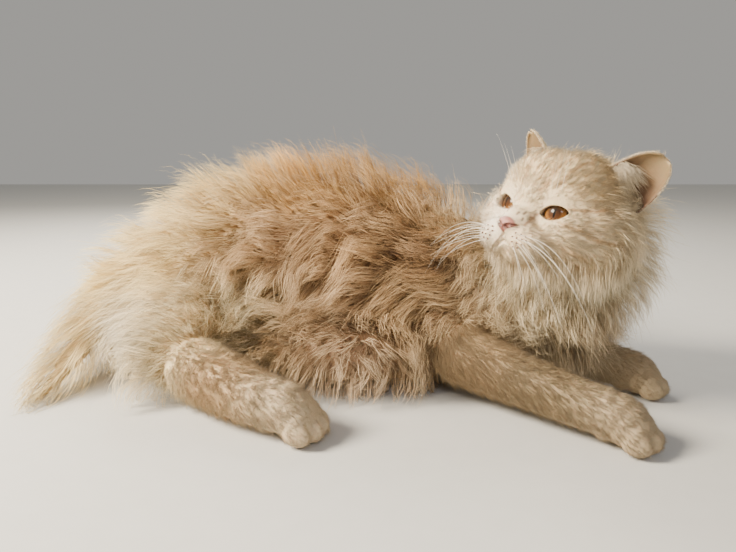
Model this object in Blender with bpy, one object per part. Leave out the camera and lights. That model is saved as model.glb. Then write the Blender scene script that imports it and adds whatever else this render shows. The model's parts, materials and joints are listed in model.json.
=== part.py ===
"""A long-haired flat-faced cat at life size, lying on its chest with its head turned back over its right side.

The cat lies along X, its rump at -X and its forepaws at +X. Its right side faces -Y. The origin is on the floor,
in the middle of the flat that the belly rests on. Sizes are in metres.
"""

import math
import random

import bmesh
import bpy
import numpy as np
from mathutils import Matrix, Quaternion, Vector
from mathutils.bvhtree import BVHTree

# Gaps and grids
GAP = 0.0003  # left between two pieces that touch
GROWN = 0.0006  # how far a cutter stands out of the piece that it is copied from
SINK = 0.006  # how deep a lock is rooted in its core
ROOT_CLEAR = 0.016  # the least height of a root over the floor
CORE_SHARE = 0.5  # the core's share of the coat's depth, under the locks
BODY_VOXEL = 0.0045
LIMB_VOXEL = 0.0022
HEAD_VOXEL = 0.0014

# The coat's locks: how far apart their roots are, their size, and how far their tips stand off the core
LOCKS = {
    "torso": {"spacing": 0.0350, "length": 0.088, "width": 0.044, "thickness": 0.0105, "reach": 0.0195},
    "neck": {"spacing": 0.0310, "length": 0.064, "width": 0.034, "thickness": 0.0085, "reach": 0.0140},
    "tail": {"spacing": 0.0250, "length": 0.062, "width": 0.022, "thickness": 0.0060, "reach": 0.0110},
}
# Each ring of a lock: its share of the length, of the width, of the thickness and of the reach
LOCK_RINGS = [
    (0.00, 0.60, 1.00, 0.00),
    (0.33, 1.00, 1.00, 0.56),
    (0.70, 0.74, 0.66, 0.88),
]
LOCK_STRAY = math.radians(24)  # how far a lock may turn from the lie
LOCK_CURL = math.radians(26)  # how far it may turn along its length
FIRST_SEED = 5

# Colours, as linear red, green and blue
CREAM = (0.62, 0.42, 0.24)
PALE_CREAM = (0.74, 0.58, 0.40)
GINGER_CREAM = (0.52, 0.33, 0.18)
SKIN_PINK = (0.66, 0.36, 0.30)
AMBER = (0.48, 0.16, 0.03)

# The trunk: each station is centre, half sizes along, across and up, and the coat's depth
TRUNK = [
    (Vector((-0.178, 0.056, 0.050)), Vector((0.036, 0.044, 0.034)), 0.033),
    (Vector((-0.150, 0.054, 0.062)), Vector((0.030, 0.056, 0.044)), 0.035),
    (Vector((-0.116, 0.050, 0.076)), Vector((0.028, 0.063, 0.056)), 0.037),
    (Vector((-0.072, 0.040, 0.084)), Vector((0.035, 0.068, 0.068)), 0.038),
    (Vector((0.000, 0.022, 0.084)), Vector((0.045, 0.070, 0.074)), 0.038),
    (Vector((0.060, 0.009, 0.081)), Vector((0.040, 0.063, 0.066)), 0.032),
    (Vector((0.105, -0.006, 0.076)), Vector((0.035, 0.053, 0.058)), 0.027),
]
BELLY = [
    (Vector((-0.080, 0.034, 0.034)), Vector((0.055, 0.078, 0.032)), 0.024),
    (Vector((0.012, 0.012, 0.032)), Vector((0.060, 0.094, 0.036)), 0.026),
    (Vector((0.066, 0.002, 0.032)), Vector((0.048, 0.072, 0.036)), 0.024),
]
HAUNCHES = [
    (Vector((-0.104, -0.004, 0.062)), Vector((0.054, 0.034, 0.050)), 0.028),
    (Vector((-0.098, 0.098, 0.058)), Vector((0.054, 0.034, 0.048)), 0.028),
    (Vector((-0.156, -0.002, 0.040)), Vector((0.026, 0.026, 0.034)), 0.024),
    (Vector((-0.156, 0.094, 0.038)), Vector((0.026, 0.026, 0.034)), 0.024),
]
NECK = [
    (Vector((0.134, -0.026, 0.062)), Vector((0.050, 0.052, 0.056)), 0.025),
    (Vector((0.172, -0.038, 0.072)), Vector((0.050, 0.048, 0.054)), 0.028),
    (Vector((0.189, -0.048, 0.100)), Vector((0.046, 0.042, 0.046)), 0.028),
    (Vector((0.198, -0.057, 0.128)), Vector((0.040, 0.034, 0.034)), 0.024),
]

# The tail: centre, flesh radius and coat
TAIL = [
    (Vector((-0.172, 0.056, 0.078)), 0.018, 0.018),
    (Vector((-0.197, 0.044, 0.068)), 0.013, 0.025),
    (Vector((-0.207, 0.018, 0.051)), 0.011, 0.027),
    (Vector((-0.212, -0.012, 0.033)), 0.010, 0.026),
    (Vector((-0.215, -0.040, 0.021)), 0.008, 0.020),
    (Vector((-0.217, -0.066, 0.012)), 0.005, 0.012),
    (Vector((-0.219, -0.086, 0.006)), 0.002, 0.006),
]

# The limbs: centre and radius, short fur included
FORELEG_RIGHT = [
    (Vector((0.092, -0.046, 0.050)), 0.030),
    (Vector((0.106, -0.072, 0.034)), 0.026),
    (Vector((0.140, -0.106, 0.027)), 0.0215),
    (Vector((0.170, -0.136, 0.023)), 0.0195),
    (Vector((0.192, -0.1525, 0.020)), 0.0188),
]
FORELEG_LEFT = [
    (Vector((0.158, -0.010, 0.048)), 0.028),
    (Vector((0.182, -0.030, 0.034)), 0.024),
    (Vector((0.208, -0.050, 0.026)), 0.0200),
    (Vector((0.226, -0.060, 0.022)), 0.0185),
    (Vector((0.238, -0.064, 0.020)), 0.0180),
]
HINDLEG_RIGHT = [
    (Vector((-0.112, -0.040, 0.046)), 0.029),
    (Vector((-0.122, -0.060, 0.032)), 0.0265),
    (Vector((-0.096, -0.088, 0.027)), 0.0255),
    (Vector((-0.062, -0.118, 0.024)), 0.0230),
    (Vector((-0.042, -0.132, 0.022)), 0.0212),
    (Vector((-0.0266, -0.1396, 0.021)), 0.0205),
]
HINDLEG_LEFT = [
    (Vector((-0.108, 0.132, 0.046)), 0.029),
    (Vector((-0.112, 0.150, 0.032)), 0.0265),
    (Vector((-0.078, 0.162, 0.027)), 0.0240),
    (Vector((-0.046, 0.168, 0.023)), 0.0210),
    (Vector((-0.030, 0.170, 0.021)), 0.0200),
]

# The paws: wrist end, heading in plan, and the size of the paw against the right forepaw's
PAWS = {
    "forepaw_right": (Vector((0.192, -0.1525, 0.0)), math.radians(-31), 1.00),
    "forepaw_left": (Vector((0.238, -0.064, 0.0)), math.radians(-20), 0.97),
    "hindpaw_right": (Vector((-0.0266, -0.1396, 0.0)), math.radians(-20), 1.06),
    "hindpaw_left": (Vector((-0.030, 0.170, 0.0)), math.radians(6), 1.04),
}
PAW_LENGTH = 0.0295
PAW_HALF_WIDTH = 0.0200
PAW_HEIGHT = 0.034
TOE_RADIUS = 0.0095
TOE_SPREAD = 0.0094
CUT_BEFORE_PAW = 0.004

# The head's own frame faces -Y, with the cat's left at +X, and its origin lies between the eyes
HEAD_CENTRE = Vector((0.1672, -0.090, 0.1450))
HEAD_YAW = math.radians(54)  # from facing -Y, round towards -X
HEAD_PITCH = math.radians(12)
HEAD_ROLL = math.radians(6.8)

# The skull and face, in the head's frame: centre and half sizes, mirrored where it isn't on the middle
FACE = [
    (Vector((0.0, 0.008, 0.005)), Vector((0.043, 0.044, 0.042))),
    (Vector((0.010, -0.008, 0.008)), Vector((0.034, 0.032, 0.037))),
    (Vector((0.026, 0.000, -0.010)), Vector((0.029, 0.033, 0.028))),
    (Vector((0.021, -0.014, -0.012)), Vector((0.026, 0.026, 0.024))),
    (Vector((0.019, -0.0235, 0.009)), Vector((0.016, 0.0125, 0.011))),
    (Vector((0.0, -0.026, 0.004)), Vector((0.018, 0.0190, 0.024))),
    (Vector((0.0, -0.040, -0.010)), Vector((0.0130, 0.0130, 0.0105))),
    (Vector((0.0, -0.0500, -0.0145)), Vector((0.0085, 0.0075, 0.0066))),
    (Vector((0.0110, -0.0400, -0.0225)), Vector((0.0158, 0.0152, 0.0125))),
    (Vector((0.0, -0.036, -0.0325)), Vector((0.0135, 0.0142, 0.0095))),
    (Vector((0.0, -0.014, -0.022)), Vector((0.034, 0.030, 0.020))),
]
HEAD_BACK = 0.026  # how far behind the eyes the head is cut from the neck

# Eyes
EYE_CENTRE = Vector((0.0182, -0.0254, -0.0008))
EYE_RADIUS = 0.0108
EYE_TOE_OUT = math.radians(16)
EYE_LIFT = math.radians(3)
LID_LENGTH = 0.0205
LID_HEIGHT = 0.0118
LID_TILT = math.radians(12)
LID_RIM = 0.0011

# Nose and mouth, in the head's frame, on the left side
NOSTRIL = [Vector((0.0030, -0.0570, -0.0135)), Vector((0.0062, -0.0535, -0.0140))]
PHILTRUM = [Vector((0.0, -0.0575, -0.0175)), Vector((0.0, -0.0560, -0.0265))]
MOUTH = [
    Vector((0.0, -0.0550, -0.0268)),
    Vector((0.0070, -0.0520, -0.0300)),
    Vector((0.0140, -0.0460, -0.0320)),
    Vector((0.0200, -0.0380, -0.0310)),
]

# Ears, in the head's frame, each seen as if it were the left one
EAR_BASE = Vector((0.0340, 0.008, 0.0225))
EAR_TIPS = {1: Vector((0.0615, 0.0070, 0.0500)), -1: Vector((0.0545, 0.0050, 0.0555))}
EAR_OPENS = Vector((0.50, -0.86, -0.16))
EAR_HALF_WIDTH = 0.0205
EAR_DEPTH = 0.0125
EAR_WALL = 0.0016
EAR_FULLNESS = 0.52  # lower is fuller towards the tip

# The plane that parts the trunk from the neck and chest
NECK_PLANE = Vector((0.112, -0.024, 0.080))
NECK_NORMAL = Vector((0.93, -0.36, 0.0)).normalized()

FLOOR_BOX = 2.0


def clear_scene():
    """Removes what the scene starts with."""
    for old in list(bpy.data.objects):
        bpy.data.objects.remove(old)


def material(name, colour, roughness):
    """A plain finish for a node."""
    made = bpy.data.materials.new(name)
    made.use_nodes = True
    shader = made.node_tree.nodes["Principled BSDF"]
    shader.inputs["Base Color"].default_value = (*colour, 1.0)
    shader.inputs["Roughness"].default_value = roughness
    return made


def object_of(name, bm):
    """An object of that name from a bmesh, which is freed."""
    mesh = bpy.data.meshes.new(name)
    bm.to_mesh(mesh)
    bm.free()
    made = bpy.data.objects.new(name, mesh)
    bpy.context.scene.collection.objects.link(made)
    return made


def apply_modifiers(obj):
    """Gives obj the mesh that its modifiers make, and removes them."""
    bpy.context.view_layer.update()
    seen = obj.evaluated_get(bpy.context.evaluated_depsgraph_get())
    mesh = bpy.data.meshes.new_from_object(seen)
    obj.modifiers.clear()
    obj.data = mesh
    return obj


def triangle_count(obj):
    """How many triangles obj's mesh holds."""
    return sum(len(face.vertices) - 2 for face in obj.data.polygons)


def blended(name, balls, voxel, smoothing, triangles):
    """One closed smooth body over overlapping ellipsoids, each a centre and its half sizes."""
    bm = bmesh.new()
    for centre, half in balls:
        place = Matrix.Translation(centre) @ Matrix.Diagonal((*half, 1.0))
        bmesh.ops.create_icosphere(bm, subdivisions=3, radius=1.0, matrix=place)
    body = object_of(name, bm)
    remesh = body.modifiers.new("Remesh", "REMESH")
    remesh.mode = "VOXEL"
    remesh.voxel_size = voxel
    smooth = body.modifiers.new("Smooth", "SMOOTH")
    smooth.factor = 0.5
    smooth.iterations = smoothing
    apply_modifiers(body)
    if triangles:
        thin_out(body, triangles)
    return body


def thin_out(obj, triangles):
    """Brings obj down to about that many triangles, with most of them left where it curves most."""
    decimate = obj.modifiers.new("Decimate", "DECIMATE")
    decimate.ratio = min(1.0, triangles / triangle_count(obj))
    decimate.use_collapse_triangulate = True
    apply_modifiers(obj)


def between(stations, step):
    """Stations filled in evenly, so that balls on them overlap closely. A station is vectors and numbers."""
    filled = []
    for here, there in zip(stations, stations[1:]):
        count = max(1, round((there[0] - here[0]).length / step))
        for i in range(count):
            share = i / count
            filled.append(tuple(a + (b - a) * share for a, b in zip(here, there)))
    return filled + [stations[-1]]


def coated(stations, share, step=0.012):
    """Balls over stations of flesh, each grown by a share of its coat."""
    return [
        (centre, half + Vector((1, 1, 1)) * depth * share)
        for centre, half, depth in between(stations, step)
    ]


def round_balls(stations, share=0.0, step=0.006):
    """Balls over stations with one radius, and a coat where they have one."""
    balls = []
    for centre, radius, *coat in between(stations, step):
        reach = radius + (coat[0] * share if coat else 0.0)
        balls.append((centre, Vector((reach, reach, reach))))
    return balls


def combine(obj, others, operation, solver="EXACT"):
    """Applies one Boolean of closed meshes to obj, and removes them."""
    group = bpy.data.collections.new("operands")
    bpy.context.scene.collection.children.link(group)
    for other in others:
        for home in list(other.users_collection):
            home.objects.unlink(other)
        group.objects.link(other)
    boolean = obj.modifiers.new("Boolean", "BOOLEAN")
    boolean.operation = operation
    boolean.solver = solver
    boolean.operand_type = "COLLECTION"
    boolean.collection = group
    apply_modifiers(obj)
    for other in others:
        bpy.data.objects.remove(other)
    bpy.data.collections.remove(group)
    return obj


def keep_largest(obj):
    """Leaves obj only its largest closed surface."""
    bm = bmesh.new()
    bm.from_mesh(obj.data)
    unseen = set(bm.verts)
    islands = []
    while unseen:
        front = [unseen.pop()]
        island = set(front)
        while front:
            for edge in front.pop().link_edges:
                for vertex in edge.verts:
                    if vertex in unseen:
                        unseen.remove(vertex)
                        island.add(vertex)
                        front.append(vertex)
        islands.append(island)
    islands.sort(key=len)
    for island in islands[:-1]:
        bmesh.ops.delete(bm, geom=list(island), context="VERTS")
    bm.to_mesh(obj.data)
    bm.free()
    return obj


def grown_copy(obj, distance=GROWN):
    """A copy of obj moved outwards along its normals, to cut room for it in a neighbour."""
    copy = bpy.data.objects.new("cutter", obj.data.copy())
    bpy.context.scene.collection.objects.link(copy)
    bm = bmesh.new()
    bm.from_mesh(copy.data)
    bm.normal_update()
    moves = [(vertex, vertex.normal * distance * min(2.0, vertex.calc_shell_factor())) for vertex in bm.verts]
    for vertex, move in moves:
        vertex.co += move
    bm.to_mesh(copy.data)
    bm.free()
    return copy


def hull_copy(obj, distance=GROWN):
    """The convex hull of obj, moved outwards, to cut room for a coat in a neighbour."""
    bm = bmesh.new()
    for vertex in obj.data.vertices:
        bm.verts.new(vertex.co)
    result = bmesh.ops.convex_hull(bm, input=bm.verts)
    inside = {item for item in result["geom_interior"] if isinstance(item, bmesh.types.BMVert)}
    bmesh.ops.delete(bm, geom=list(inside), context="VERTS")
    bmesh.ops.recalc_face_normals(bm, faces=bm.faces)
    hull = object_of("hull", bm)
    copy = grown_copy(hull, distance)
    bpy.data.objects.remove(hull)
    return copy


def lie_on_trunk(point):
    """Which way the coat lies there: back towards the rump, and down the sides."""
    return Vector((-0.80, 0.0, -0.75))


def lie_on_neck(point):
    """Which way the ruff and the chest lie: away from the head, and down."""
    away = point - (HEAD_CENTRE + Vector((0.01, 0.01, 0.02)))
    return away.normalized() * 0.7 + Vector((0.0, 0.0, -0.7))


def lie_on_tail(point):
    """Along the tail, towards its tip."""
    nearest = min(range(len(TAIL) - 1), key=lambda i: (point - (TAIL[i][0] + TAIL[i + 1][0]) / 2).length)
    return TAIL[nearest + 1][0] - TAIL[nearest][0]


def along(surface_normal, direction):
    """The part of a direction that runs along a surface."""
    flat = direction - surface_normal * direction.dot(surface_normal)
    return flat.normalized() if flat.length > 1e-4 else surface_normal.orthogonal()


def lock_roots(core, spacing, keep_off, draw):
    """Points spread over a core at least that far apart, off the floor and off the pieces beside it."""
    core.data.calc_loop_triangles()
    corners = [[core.data.vertices[i].co for i in face.vertices] for face in core.data.loop_triangles]
    areas = [face.area for face in core.data.loop_triangles]
    roots = []
    for a, b, c in draw.choices(corners, areas, k=6000):
        u, v = sorted((draw.random(), draw.random()))
        point = a * u + b * (v - u) + c * (1 - v)
        if point.z < ROOT_CLEAR or keep_off(point):
            continue
        if all((point - other).length > spacing for other in roots):
            roots.append(point)
    return roots


def lock_spine(surface, root, lie, size, draw):
    """The middle of a lock at each of its rings and at its tip, with the normal there."""
    spot, normal, _, _ = surface.find_nearest(root)
    stray = draw.uniform(-LOCK_STRAY, LOCK_STRAY)
    curl = draw.uniform(-LOCK_CURL, LOCK_CURL)
    length = size["length"] * draw.uniform(0.85, 1.12)
    reach = size["reach"] * draw.uniform(0.85, 1.15)
    steps = 12
    walked = [(spot.copy(), normal.copy())]
    for step in range(steps):
        ahead = along(normal, lie(spot))
        ahead.rotate(Quaternion(normal, stray + curl * step / steps))
        spot, onto, _, _ = surface.find_nearest(spot + ahead * (length / steps))
        if onto.z > -0.5:
            normal = onto
        else:
            spot = spot + Vector((normal.x, normal.y, 0.0)) * (length / steps)
        walked.append((spot.copy(), normal.copy()))
    spine = []
    for share, _, _, height in [*LOCK_RINGS, (1.0, 0.0, 0.0, 1.0)]:
        spot, normal = walked[round(share * steps)]
        lift = reach * height - (SINK if share == 0.0 else 0.0)
        middle = spot + normal * lift
        middle.z = max(middle.z, size["thickness"] * 0.6)
        spine.append((middle, normal))
    return spine


def make_lock(spine, size):
    """A flat, tapered lock along its spine, its sides bevelled off towards the top."""
    bm = bmesh.new()
    rings = []
    for i, (_, width, thickness, _) in enumerate(LOCK_RINGS):
        middle, normal = spine[i]
        ahead = (spine[i + 1][0] - spine[max(0, i - 1)][0]).normalized()
        across = normal.cross(ahead).normalized() * (size["width"] * width / 2)
        up = ahead.cross(across).normalized() * (size["thickness"] * thickness / 2)
        corners = (across * -1.0 - up, across - up, across * 0.45 + up, across * -0.45 + up)
        rings.append([bm.verts.new(middle + corner) for corner in corners])
    tip = bm.verts.new(spine[-1][0])
    bm.faces.new(rings[0])
    for low, high in zip(rings, rings[1:]):
        for i in range(4):
            bm.faces.new((low[i], low[i - 1], high[i - 1], high[i]))
    for i in range(4):
        bm.faces.new((rings[-1][i], rings[-1][i - 1], tip))
    bmesh.ops.recalc_face_normals(bm, faces=bm.faces)
    bmesh.ops.triangulate(bm, faces=bm.faces)
    return object_of("lock", bm)


def grow_locks(core, name, lie, keep_off):
    """Roots the named coat's locks all over a core, and fuses them with it."""
    size = LOCKS[name]
    draw = random.Random(FIRST_SEED + len(name))
    surface = BVHTree.FromPolygons(
        [vertex.co for vertex in core.data.vertices], [face.vertices for face in core.data.polygons]
    )
    locks = []
    for root in lock_roots(core, size["spacing"], keep_off, draw):
        locks.append(make_lock(lock_spine(surface, root, lie, size, draw), size))
    combine(core, locks, "UNION", "MANIFOLD")
    return keep_largest(core)


def near_any(pieces, distance):
    """A test of whether a point is inside a piece or that near to it."""
    trees = []
    for piece in pieces:
        mesh = piece.data
        corners = [vertex.co for vertex in mesh.vertices]
        trees.append(BVHTree.FromPolygons(corners, [face.vertices for face in mesh.polygons]))

    def test(point):
        for tree in trees:
            spot, normal, _, gap = tree.find_nearest(point)
            if gap < distance or (point - spot).dot(normal) < 0:
                return True
        return False

    return test


def half_space(point, normal, size=FLOOR_BOX):
    """A box that fills the side of a plane that its normal points to."""
    bm = bmesh.new()
    turn = normal.to_track_quat("Z", "Y").to_matrix().to_4x4()
    place = Matrix.Translation(point) @ turn @ Matrix.Translation((0, 0, size / 2))
    bmesh.ops.create_cube(bm, size=size, matrix=place)
    return object_of("half_space", bm)


def floor():
    """Everything under the floor."""
    return half_space(Vector((0, 0, 0)), Vector((0, 0, -1)))


def head_matrix():
    """From the head's own frame to the cat's."""
    turn = Matrix.Rotation(-HEAD_YAW, 4, "Z") @ Matrix.Rotation(-HEAD_PITCH, 4, "X")
    return Matrix.Translation(HEAD_CENTRE) @ turn @ Matrix.Rotation(HEAD_ROLL, 4, "Y")


def mirrored(point):
    """The same point on the head's other side."""
    return Vector((-point.x, point.y, point.z))


def eye_matrix(side):
    """The frame of one eye in the head's, with Z along its sight. Side is 1 on the left and -1 on the right."""
    centre = EYE_CENTRE if side > 0 else mirrored(EYE_CENTRE)
    look = Vector((side * math.sin(EYE_TOE_OUT), -math.cos(EYE_TOE_OUT), math.sin(EYE_LIFT)))
    look.normalize()
    across = Vector((0, 0, 1)).cross(look).normalized()
    up = look.cross(across)
    turn = Matrix((across, up, look)).transposed().to_4x4()
    return Matrix.Translation(centre) @ turn @ Matrix.Rotation(side * LID_TILT, 4, "Z")


def almond(count, length, height):
    """The outline of an open eye, flat, with pointed ends."""
    points = []
    for i in range(count):
        angle = math.tau * i / count
        width = math.cos(angle)
        rise = math.sin(angle)
        pinch = 1.0 - 0.35 * abs(width) ** 3
        points.append(Vector((width * length / 2, rise * pinch * height / 2, 0)))
    return points


def eye_opening(side):
    """A cutter along the sight of one eye, as wide as the lids stand open."""
    bm = bmesh.new()
    ring = [bm.verts.new(point) for point in almond(16, LID_LENGTH, LID_HEIGHT)]
    face = bm.faces.new(ring)
    made = bmesh.ops.extrude_face_region(bm, geom=[face])
    top = [item for item in made["geom"] if isinstance(item, bmesh.types.BMVert)]
    bmesh.ops.translate(bm, verts=top, vec=(0, 0, 0.03))
    bmesh.ops.recalc_face_normals(bm, faces=bm.faces)
    bmesh.ops.transform(bm, matrix=head_matrix() @ eye_matrix(side), verts=bm.verts)
    return object_of("eye_opening", bm)


def eyeball(name, side, radius):
    """One eyeball, its pole on its line of sight."""
    bm = bmesh.new()
    bmesh.ops.create_uvsphere(bm, u_segments=14, v_segments=9, radius=radius)
    bmesh.ops.transform(bm, matrix=head_matrix() @ eye_matrix(side), verts=bm.verts)
    return object_of(name, bm)


def distance_to_path(point, path):
    """How far a point is from a path of straight lines."""
    nearest = 1.0
    for start, end in zip(path, path[1:]):
        along = end - start
        share = max(0.0, min(1.0, (point - start).dot(along) / along.length_squared))
        nearest = min(nearest, (point - start - along * share).length)
    return nearest


def press(obj, path, width, depth):
    """Presses a groove of that width and depth into obj along a path, or raises a ridge where depth is under 0."""
    bm = bmesh.new()
    bm.from_mesh(obj.data)
    bm.normal_update()
    moves = []
    for vertex in bm.verts:
        share = distance_to_path(vertex.co, path) / width
        if share < 1.0:
            fall = math.cos(share * math.pi / 2) ** 2
            moves.append((vertex, vertex.normal * (-depth * fall)))
    for vertex, move in moves:
        vertex.co += move
    bm.to_mesh(obj.data)
    bm.free()


def lid_path(side):
    """The edge of the lids, where they meet the eyeball, in the head's frame."""
    path = []
    for point in almond(24, LID_LENGTH + LID_RIM * 2, LID_HEIGHT + LID_RIM * 2):
        lift = math.sqrt(max(0.0, (EYE_RADIUS + LID_RIM) ** 2 - point.x**2 - point.y**2))
        path.append(eye_matrix(side) @ Vector((point.x, point.y, lift)))
    return path + path[:1]


def make_head(triangles):
    """The skull with its short fur, the lids, nose and mouth, and the sockets cut for the eyes."""
    balls = []
    for centre, half in FACE:
        balls.append((centre, half))
        if centre.x:
            balls.append((mirrored(centre), half))
    head = blended("head", balls, HEAD_VOXEL, 16, 0)
    for side in (1, -1):
        press(head, lid_path(side), LID_RIM * 2.6, -LID_RIM)
        turned = (lambda point: point) if side > 0 else mirrored
        press(head, [turned(point) for point in NOSTRIL], 0.0026, 0.0026)
        press(head, [turned(point) for point in MOUTH], 0.0028, 0.0024)
    press(head, PHILTRUM, 0.0026, 0.0018)
    thin_out(head, triangles)
    head.data.transform(head_matrix())
    cutters = [eye_opening(1), eye_opening(-1)]
    cutters += [eyeball("socket", side, EYE_RADIUS + GAP) for side in (1, -1)]
    back = head_matrix() @ Vector((0, HEAD_BACK, 0))
    behind = head_matrix().to_3x3() @ Vector((0, 1, 0))
    cutters.append(half_space(back, behind))
    combine(head, cutters, "DIFFERENCE")
    return keep_largest(head)


def ear_point(side, across, along):
    """A point on the back of the ear's cup. Across runs from -1 to 1, along from the root, 0, to the tip, 1."""
    reach = EAR_TIPS[side] - EAR_BASE
    axis = reach.normalized()
    opens = (EAR_OPENS - axis * EAR_OPENS.dot(axis)).normalized()
    sideways = axis.cross(opens)
    width = EAR_HALF_WIDTH * math.cos(max(0.0, along) * math.pi / 2) ** EAR_FULLNESS
    bend = across * math.pi * 0.5
    cup = -EAR_DEPTH * math.cos(bend) * (1.0 - 0.75 * max(0.0, along))
    point = EAR_BASE + reach * along + sideways * (width * math.sin(bend)) + opens * cup
    return point if side > 0 else mirrored(point)


def make_ear(name, side, head):
    """One ear: a thin cup that opens outwards and forwards, its root cut to the head."""
    rows, columns, start, end = 7, 8, -0.35, 0.985
    bm = bmesh.new()
    grid = []
    for row in range(rows):
        along = start + (end - start) * (row / (rows - 1)) ** 0.85
        ring = [ear_point(side, 2 * column / columns - 1, along) for column in range(columns + 1)]
        grid.append([bm.verts.new(point) for point in ring])
    for low, high in zip(grid, grid[1:]):
        for i in range(columns):
            bm.faces.new((low[i], low[i + 1], high[i + 1], high[i]))
    bmesh.ops.recalc_face_normals(bm, faces=bm.faces)
    bmesh.ops.transform(bm, matrix=head_matrix(), verts=bm.verts)
    ear = object_of(name, bm)
    wall = ear.modifiers.new("Solidify", "SOLIDIFY")
    wall.thickness = EAR_WALL
    wall.offset = 0.0
    apply_modifiers(ear)
    bm = bmesh.new()
    bm.from_mesh(ear.data)
    bmesh.ops.recalc_face_normals(bm, faces=bm.faces)
    bm.to_mesh(ear.data)
    bm.free()
    combine(ear, [grown_copy(head)], "DIFFERENCE")
    return keep_largest(ear)


def make_leg(name, stations, triangles, heading):
    """A short-furred limb down to the wrist or the toes' root, with its flat on the floor."""
    leg = blended(name, round_balls(stations), LIMB_VOXEL, 4, triangles)
    wrist, _ = stations[-1]
    ahead = Vector((math.cos(heading), math.sin(heading), 0))
    cut = wrist - ahead * CUT_BEFORE_PAW
    combine(leg, [floor(), half_space(cut - ahead * GAP, ahead)], "DIFFERENCE")
    return keep_largest(leg)


def make_paw(name, wrist, heading, size, triangles):
    """A paw of four toes with the grooves between them."""
    turn = Matrix.Translation(wrist) @ Matrix.Rotation(heading, 4, "Z") @ Matrix.Scale(size, 4)
    half_height = PAW_HEIGHT / 2
    balls = [
        (Vector((-0.006, 0, half_height + 0.003)), Vector((0.014, 0.0165, half_height + 0.002))),
        (Vector((0.006, 0, half_height)), Vector((0.016, PAW_HALF_WIDTH - 0.002, half_height))),
        (Vector((0.013, 0, half_height - 0.003)), Vector((0.012, PAW_HALF_WIDTH - 0.001, half_height - 0.004))),
    ]
    for toe in (-1.5, -0.5, 0.5, 1.5):
        ahead = PAW_LENGTH - 0.0028 * abs(toe) ** 1.6
        reach = TOE_RADIUS * (1.0 - 0.05 * abs(toe))
        centre = Vector((ahead - reach, toe * TOE_SPREAD, TOE_RADIUS * 0.92))
        balls.append((centre, Vector((reach * 1.25, reach * 0.66, reach))))
    paw = blended(name, balls, HEAD_VOXEL, 3, triangles)
    paw.data.transform(turn)
    ahead = Vector((math.cos(heading), math.sin(heading), 0))
    combine(paw, [floor(), half_space(wrist - ahead * CUT_BEFORE_PAW, -ahead)], "DIFFERENCE")
    return keep_largest(paw)


def finish(obj, look):
    """Dresses a node, and shades it smooth."""
    obj.data.materials.clear()
    obj.data.materials.append(look)
    obj.data.shade_smooth()


def main():
    clear_scene()
    cream = material("cream coat", CREAM, 0.9)
    pale = material("pale short fur", PALE_CREAM, 0.85)
    ginger = material("ginger cream coat", GINGER_CREAM, 0.9)
    pink = material("inner ear skin", SKIN_PINK, 0.6)
    amber = material("amber eye", AMBER, 0.1)

    head = make_head(1800)
    eyes = [eyeball(name, side, EYE_RADIUS) for name, side in (("eye_left", 1), ("eye_right", -1))]
    ears = [make_ear(name, side, head) for name, side in (("ear_left", 1), ("ear_right", -1))]
    legs = []
    for name, stations, paw in (
        ("foreleg_right", FORELEG_RIGHT, "forepaw_right"),
        ("foreleg_left", FORELEG_LEFT, "forepaw_left"),
        ("hindleg_right", HINDLEG_RIGHT, "hindpaw_right"),
        ("hindleg_left", HINDLEG_LEFT, "hindpaw_left"),
    ):
        legs.append(make_leg(name, stations, 300, PAWS[paw][1]))
    paws = [make_paw(name, *place, 400) for name, place in PAWS.items()]

    tail = blended("tail", round_balls(TAIL, CORE_SHARE), LIMB_VOXEL, 4, 150)
    grow_locks(tail, "tail", lie_on_tail, lambda point: point.z > 0.078)
    combine(tail, [floor()], "DIFFERENCE", "MANIFOLD")
    keep_largest(tail)

    limbs = [head, *legs, *paws]
    clear_of = near_any(limbs, 0.004)
    neck = blended("neck", coated(NECK, CORE_SHARE), BODY_VOXEL, 6, 360)
    behind = NECK_PLANE.dot(NECK_NORMAL)
    grow_locks(
        neck, "neck", lie_on_neck, lambda point: point.dot(NECK_NORMAL) < behind + 0.004 or clear_of(point)
    )
    cutters = [floor(), half_space(NECK_PLANE, -NECK_NORMAL)]
    cutters += [grown_copy(item) for item in limbs]
    cutters += [hull_copy(ear) for ear in ears]
    combine(neck, cutters, "DIFFERENCE", "MANIFOLD")
    keep_largest(neck)

    trunk = coated(TRUNK, CORE_SHARE) + coated(BELLY, CORE_SHARE)
    for haunch in HAUNCHES:
        trunk += coated([haunch], CORE_SHARE)
    torso = blended("torso", trunk, BODY_VOXEL, 6, 560)
    grow_locks(
        torso, "torso", lie_on_trunk, lambda point: point.dot(NECK_NORMAL) > behind - 0.004 or clear_of(point)
    )
    cutters = [floor(), half_space(NECK_PLANE - NECK_NORMAL * GAP, NECK_NORMAL)]
    cutters += [grown_copy(item) for item in limbs]
    cutters += [hull_copy(tail)]
    combine(torso, cutters, "DIFFERENCE", "MANIFOLD")
    keep_largest(torso)

    for item in (torso, tail):
        finish(item, ginger)
    for item in (neck, *legs):
        finish(item, cream)
    for item in (head, *paws):
        finish(item, pale)
    for item in ears:
        finish(item, pink)
    for item in eyes:
        finish(item, amber)


main()
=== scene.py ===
"""The looks of a long-haired, flat-faced cat at life size, lying with its head turned back over its right side.

Everything is in metres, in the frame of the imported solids: the cat lies along X with its rump at -X and its
forepaws at +X, its right side faces -Y, and the floor is at Z 0. One skin is built under the coat, and the coat is
grown from it as closed tapered hairs in tufts, combed by strokes that name how it lies at places on the body.
"""

import json
import logging
import math
from dataclasses import dataclass, field, replace
from enum import Enum
from typing import Callable

import bmesh
import bpy
import numpy as np
from mathutils import Matrix, Vector
from mathutils.bvhtree import BVHTree

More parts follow.
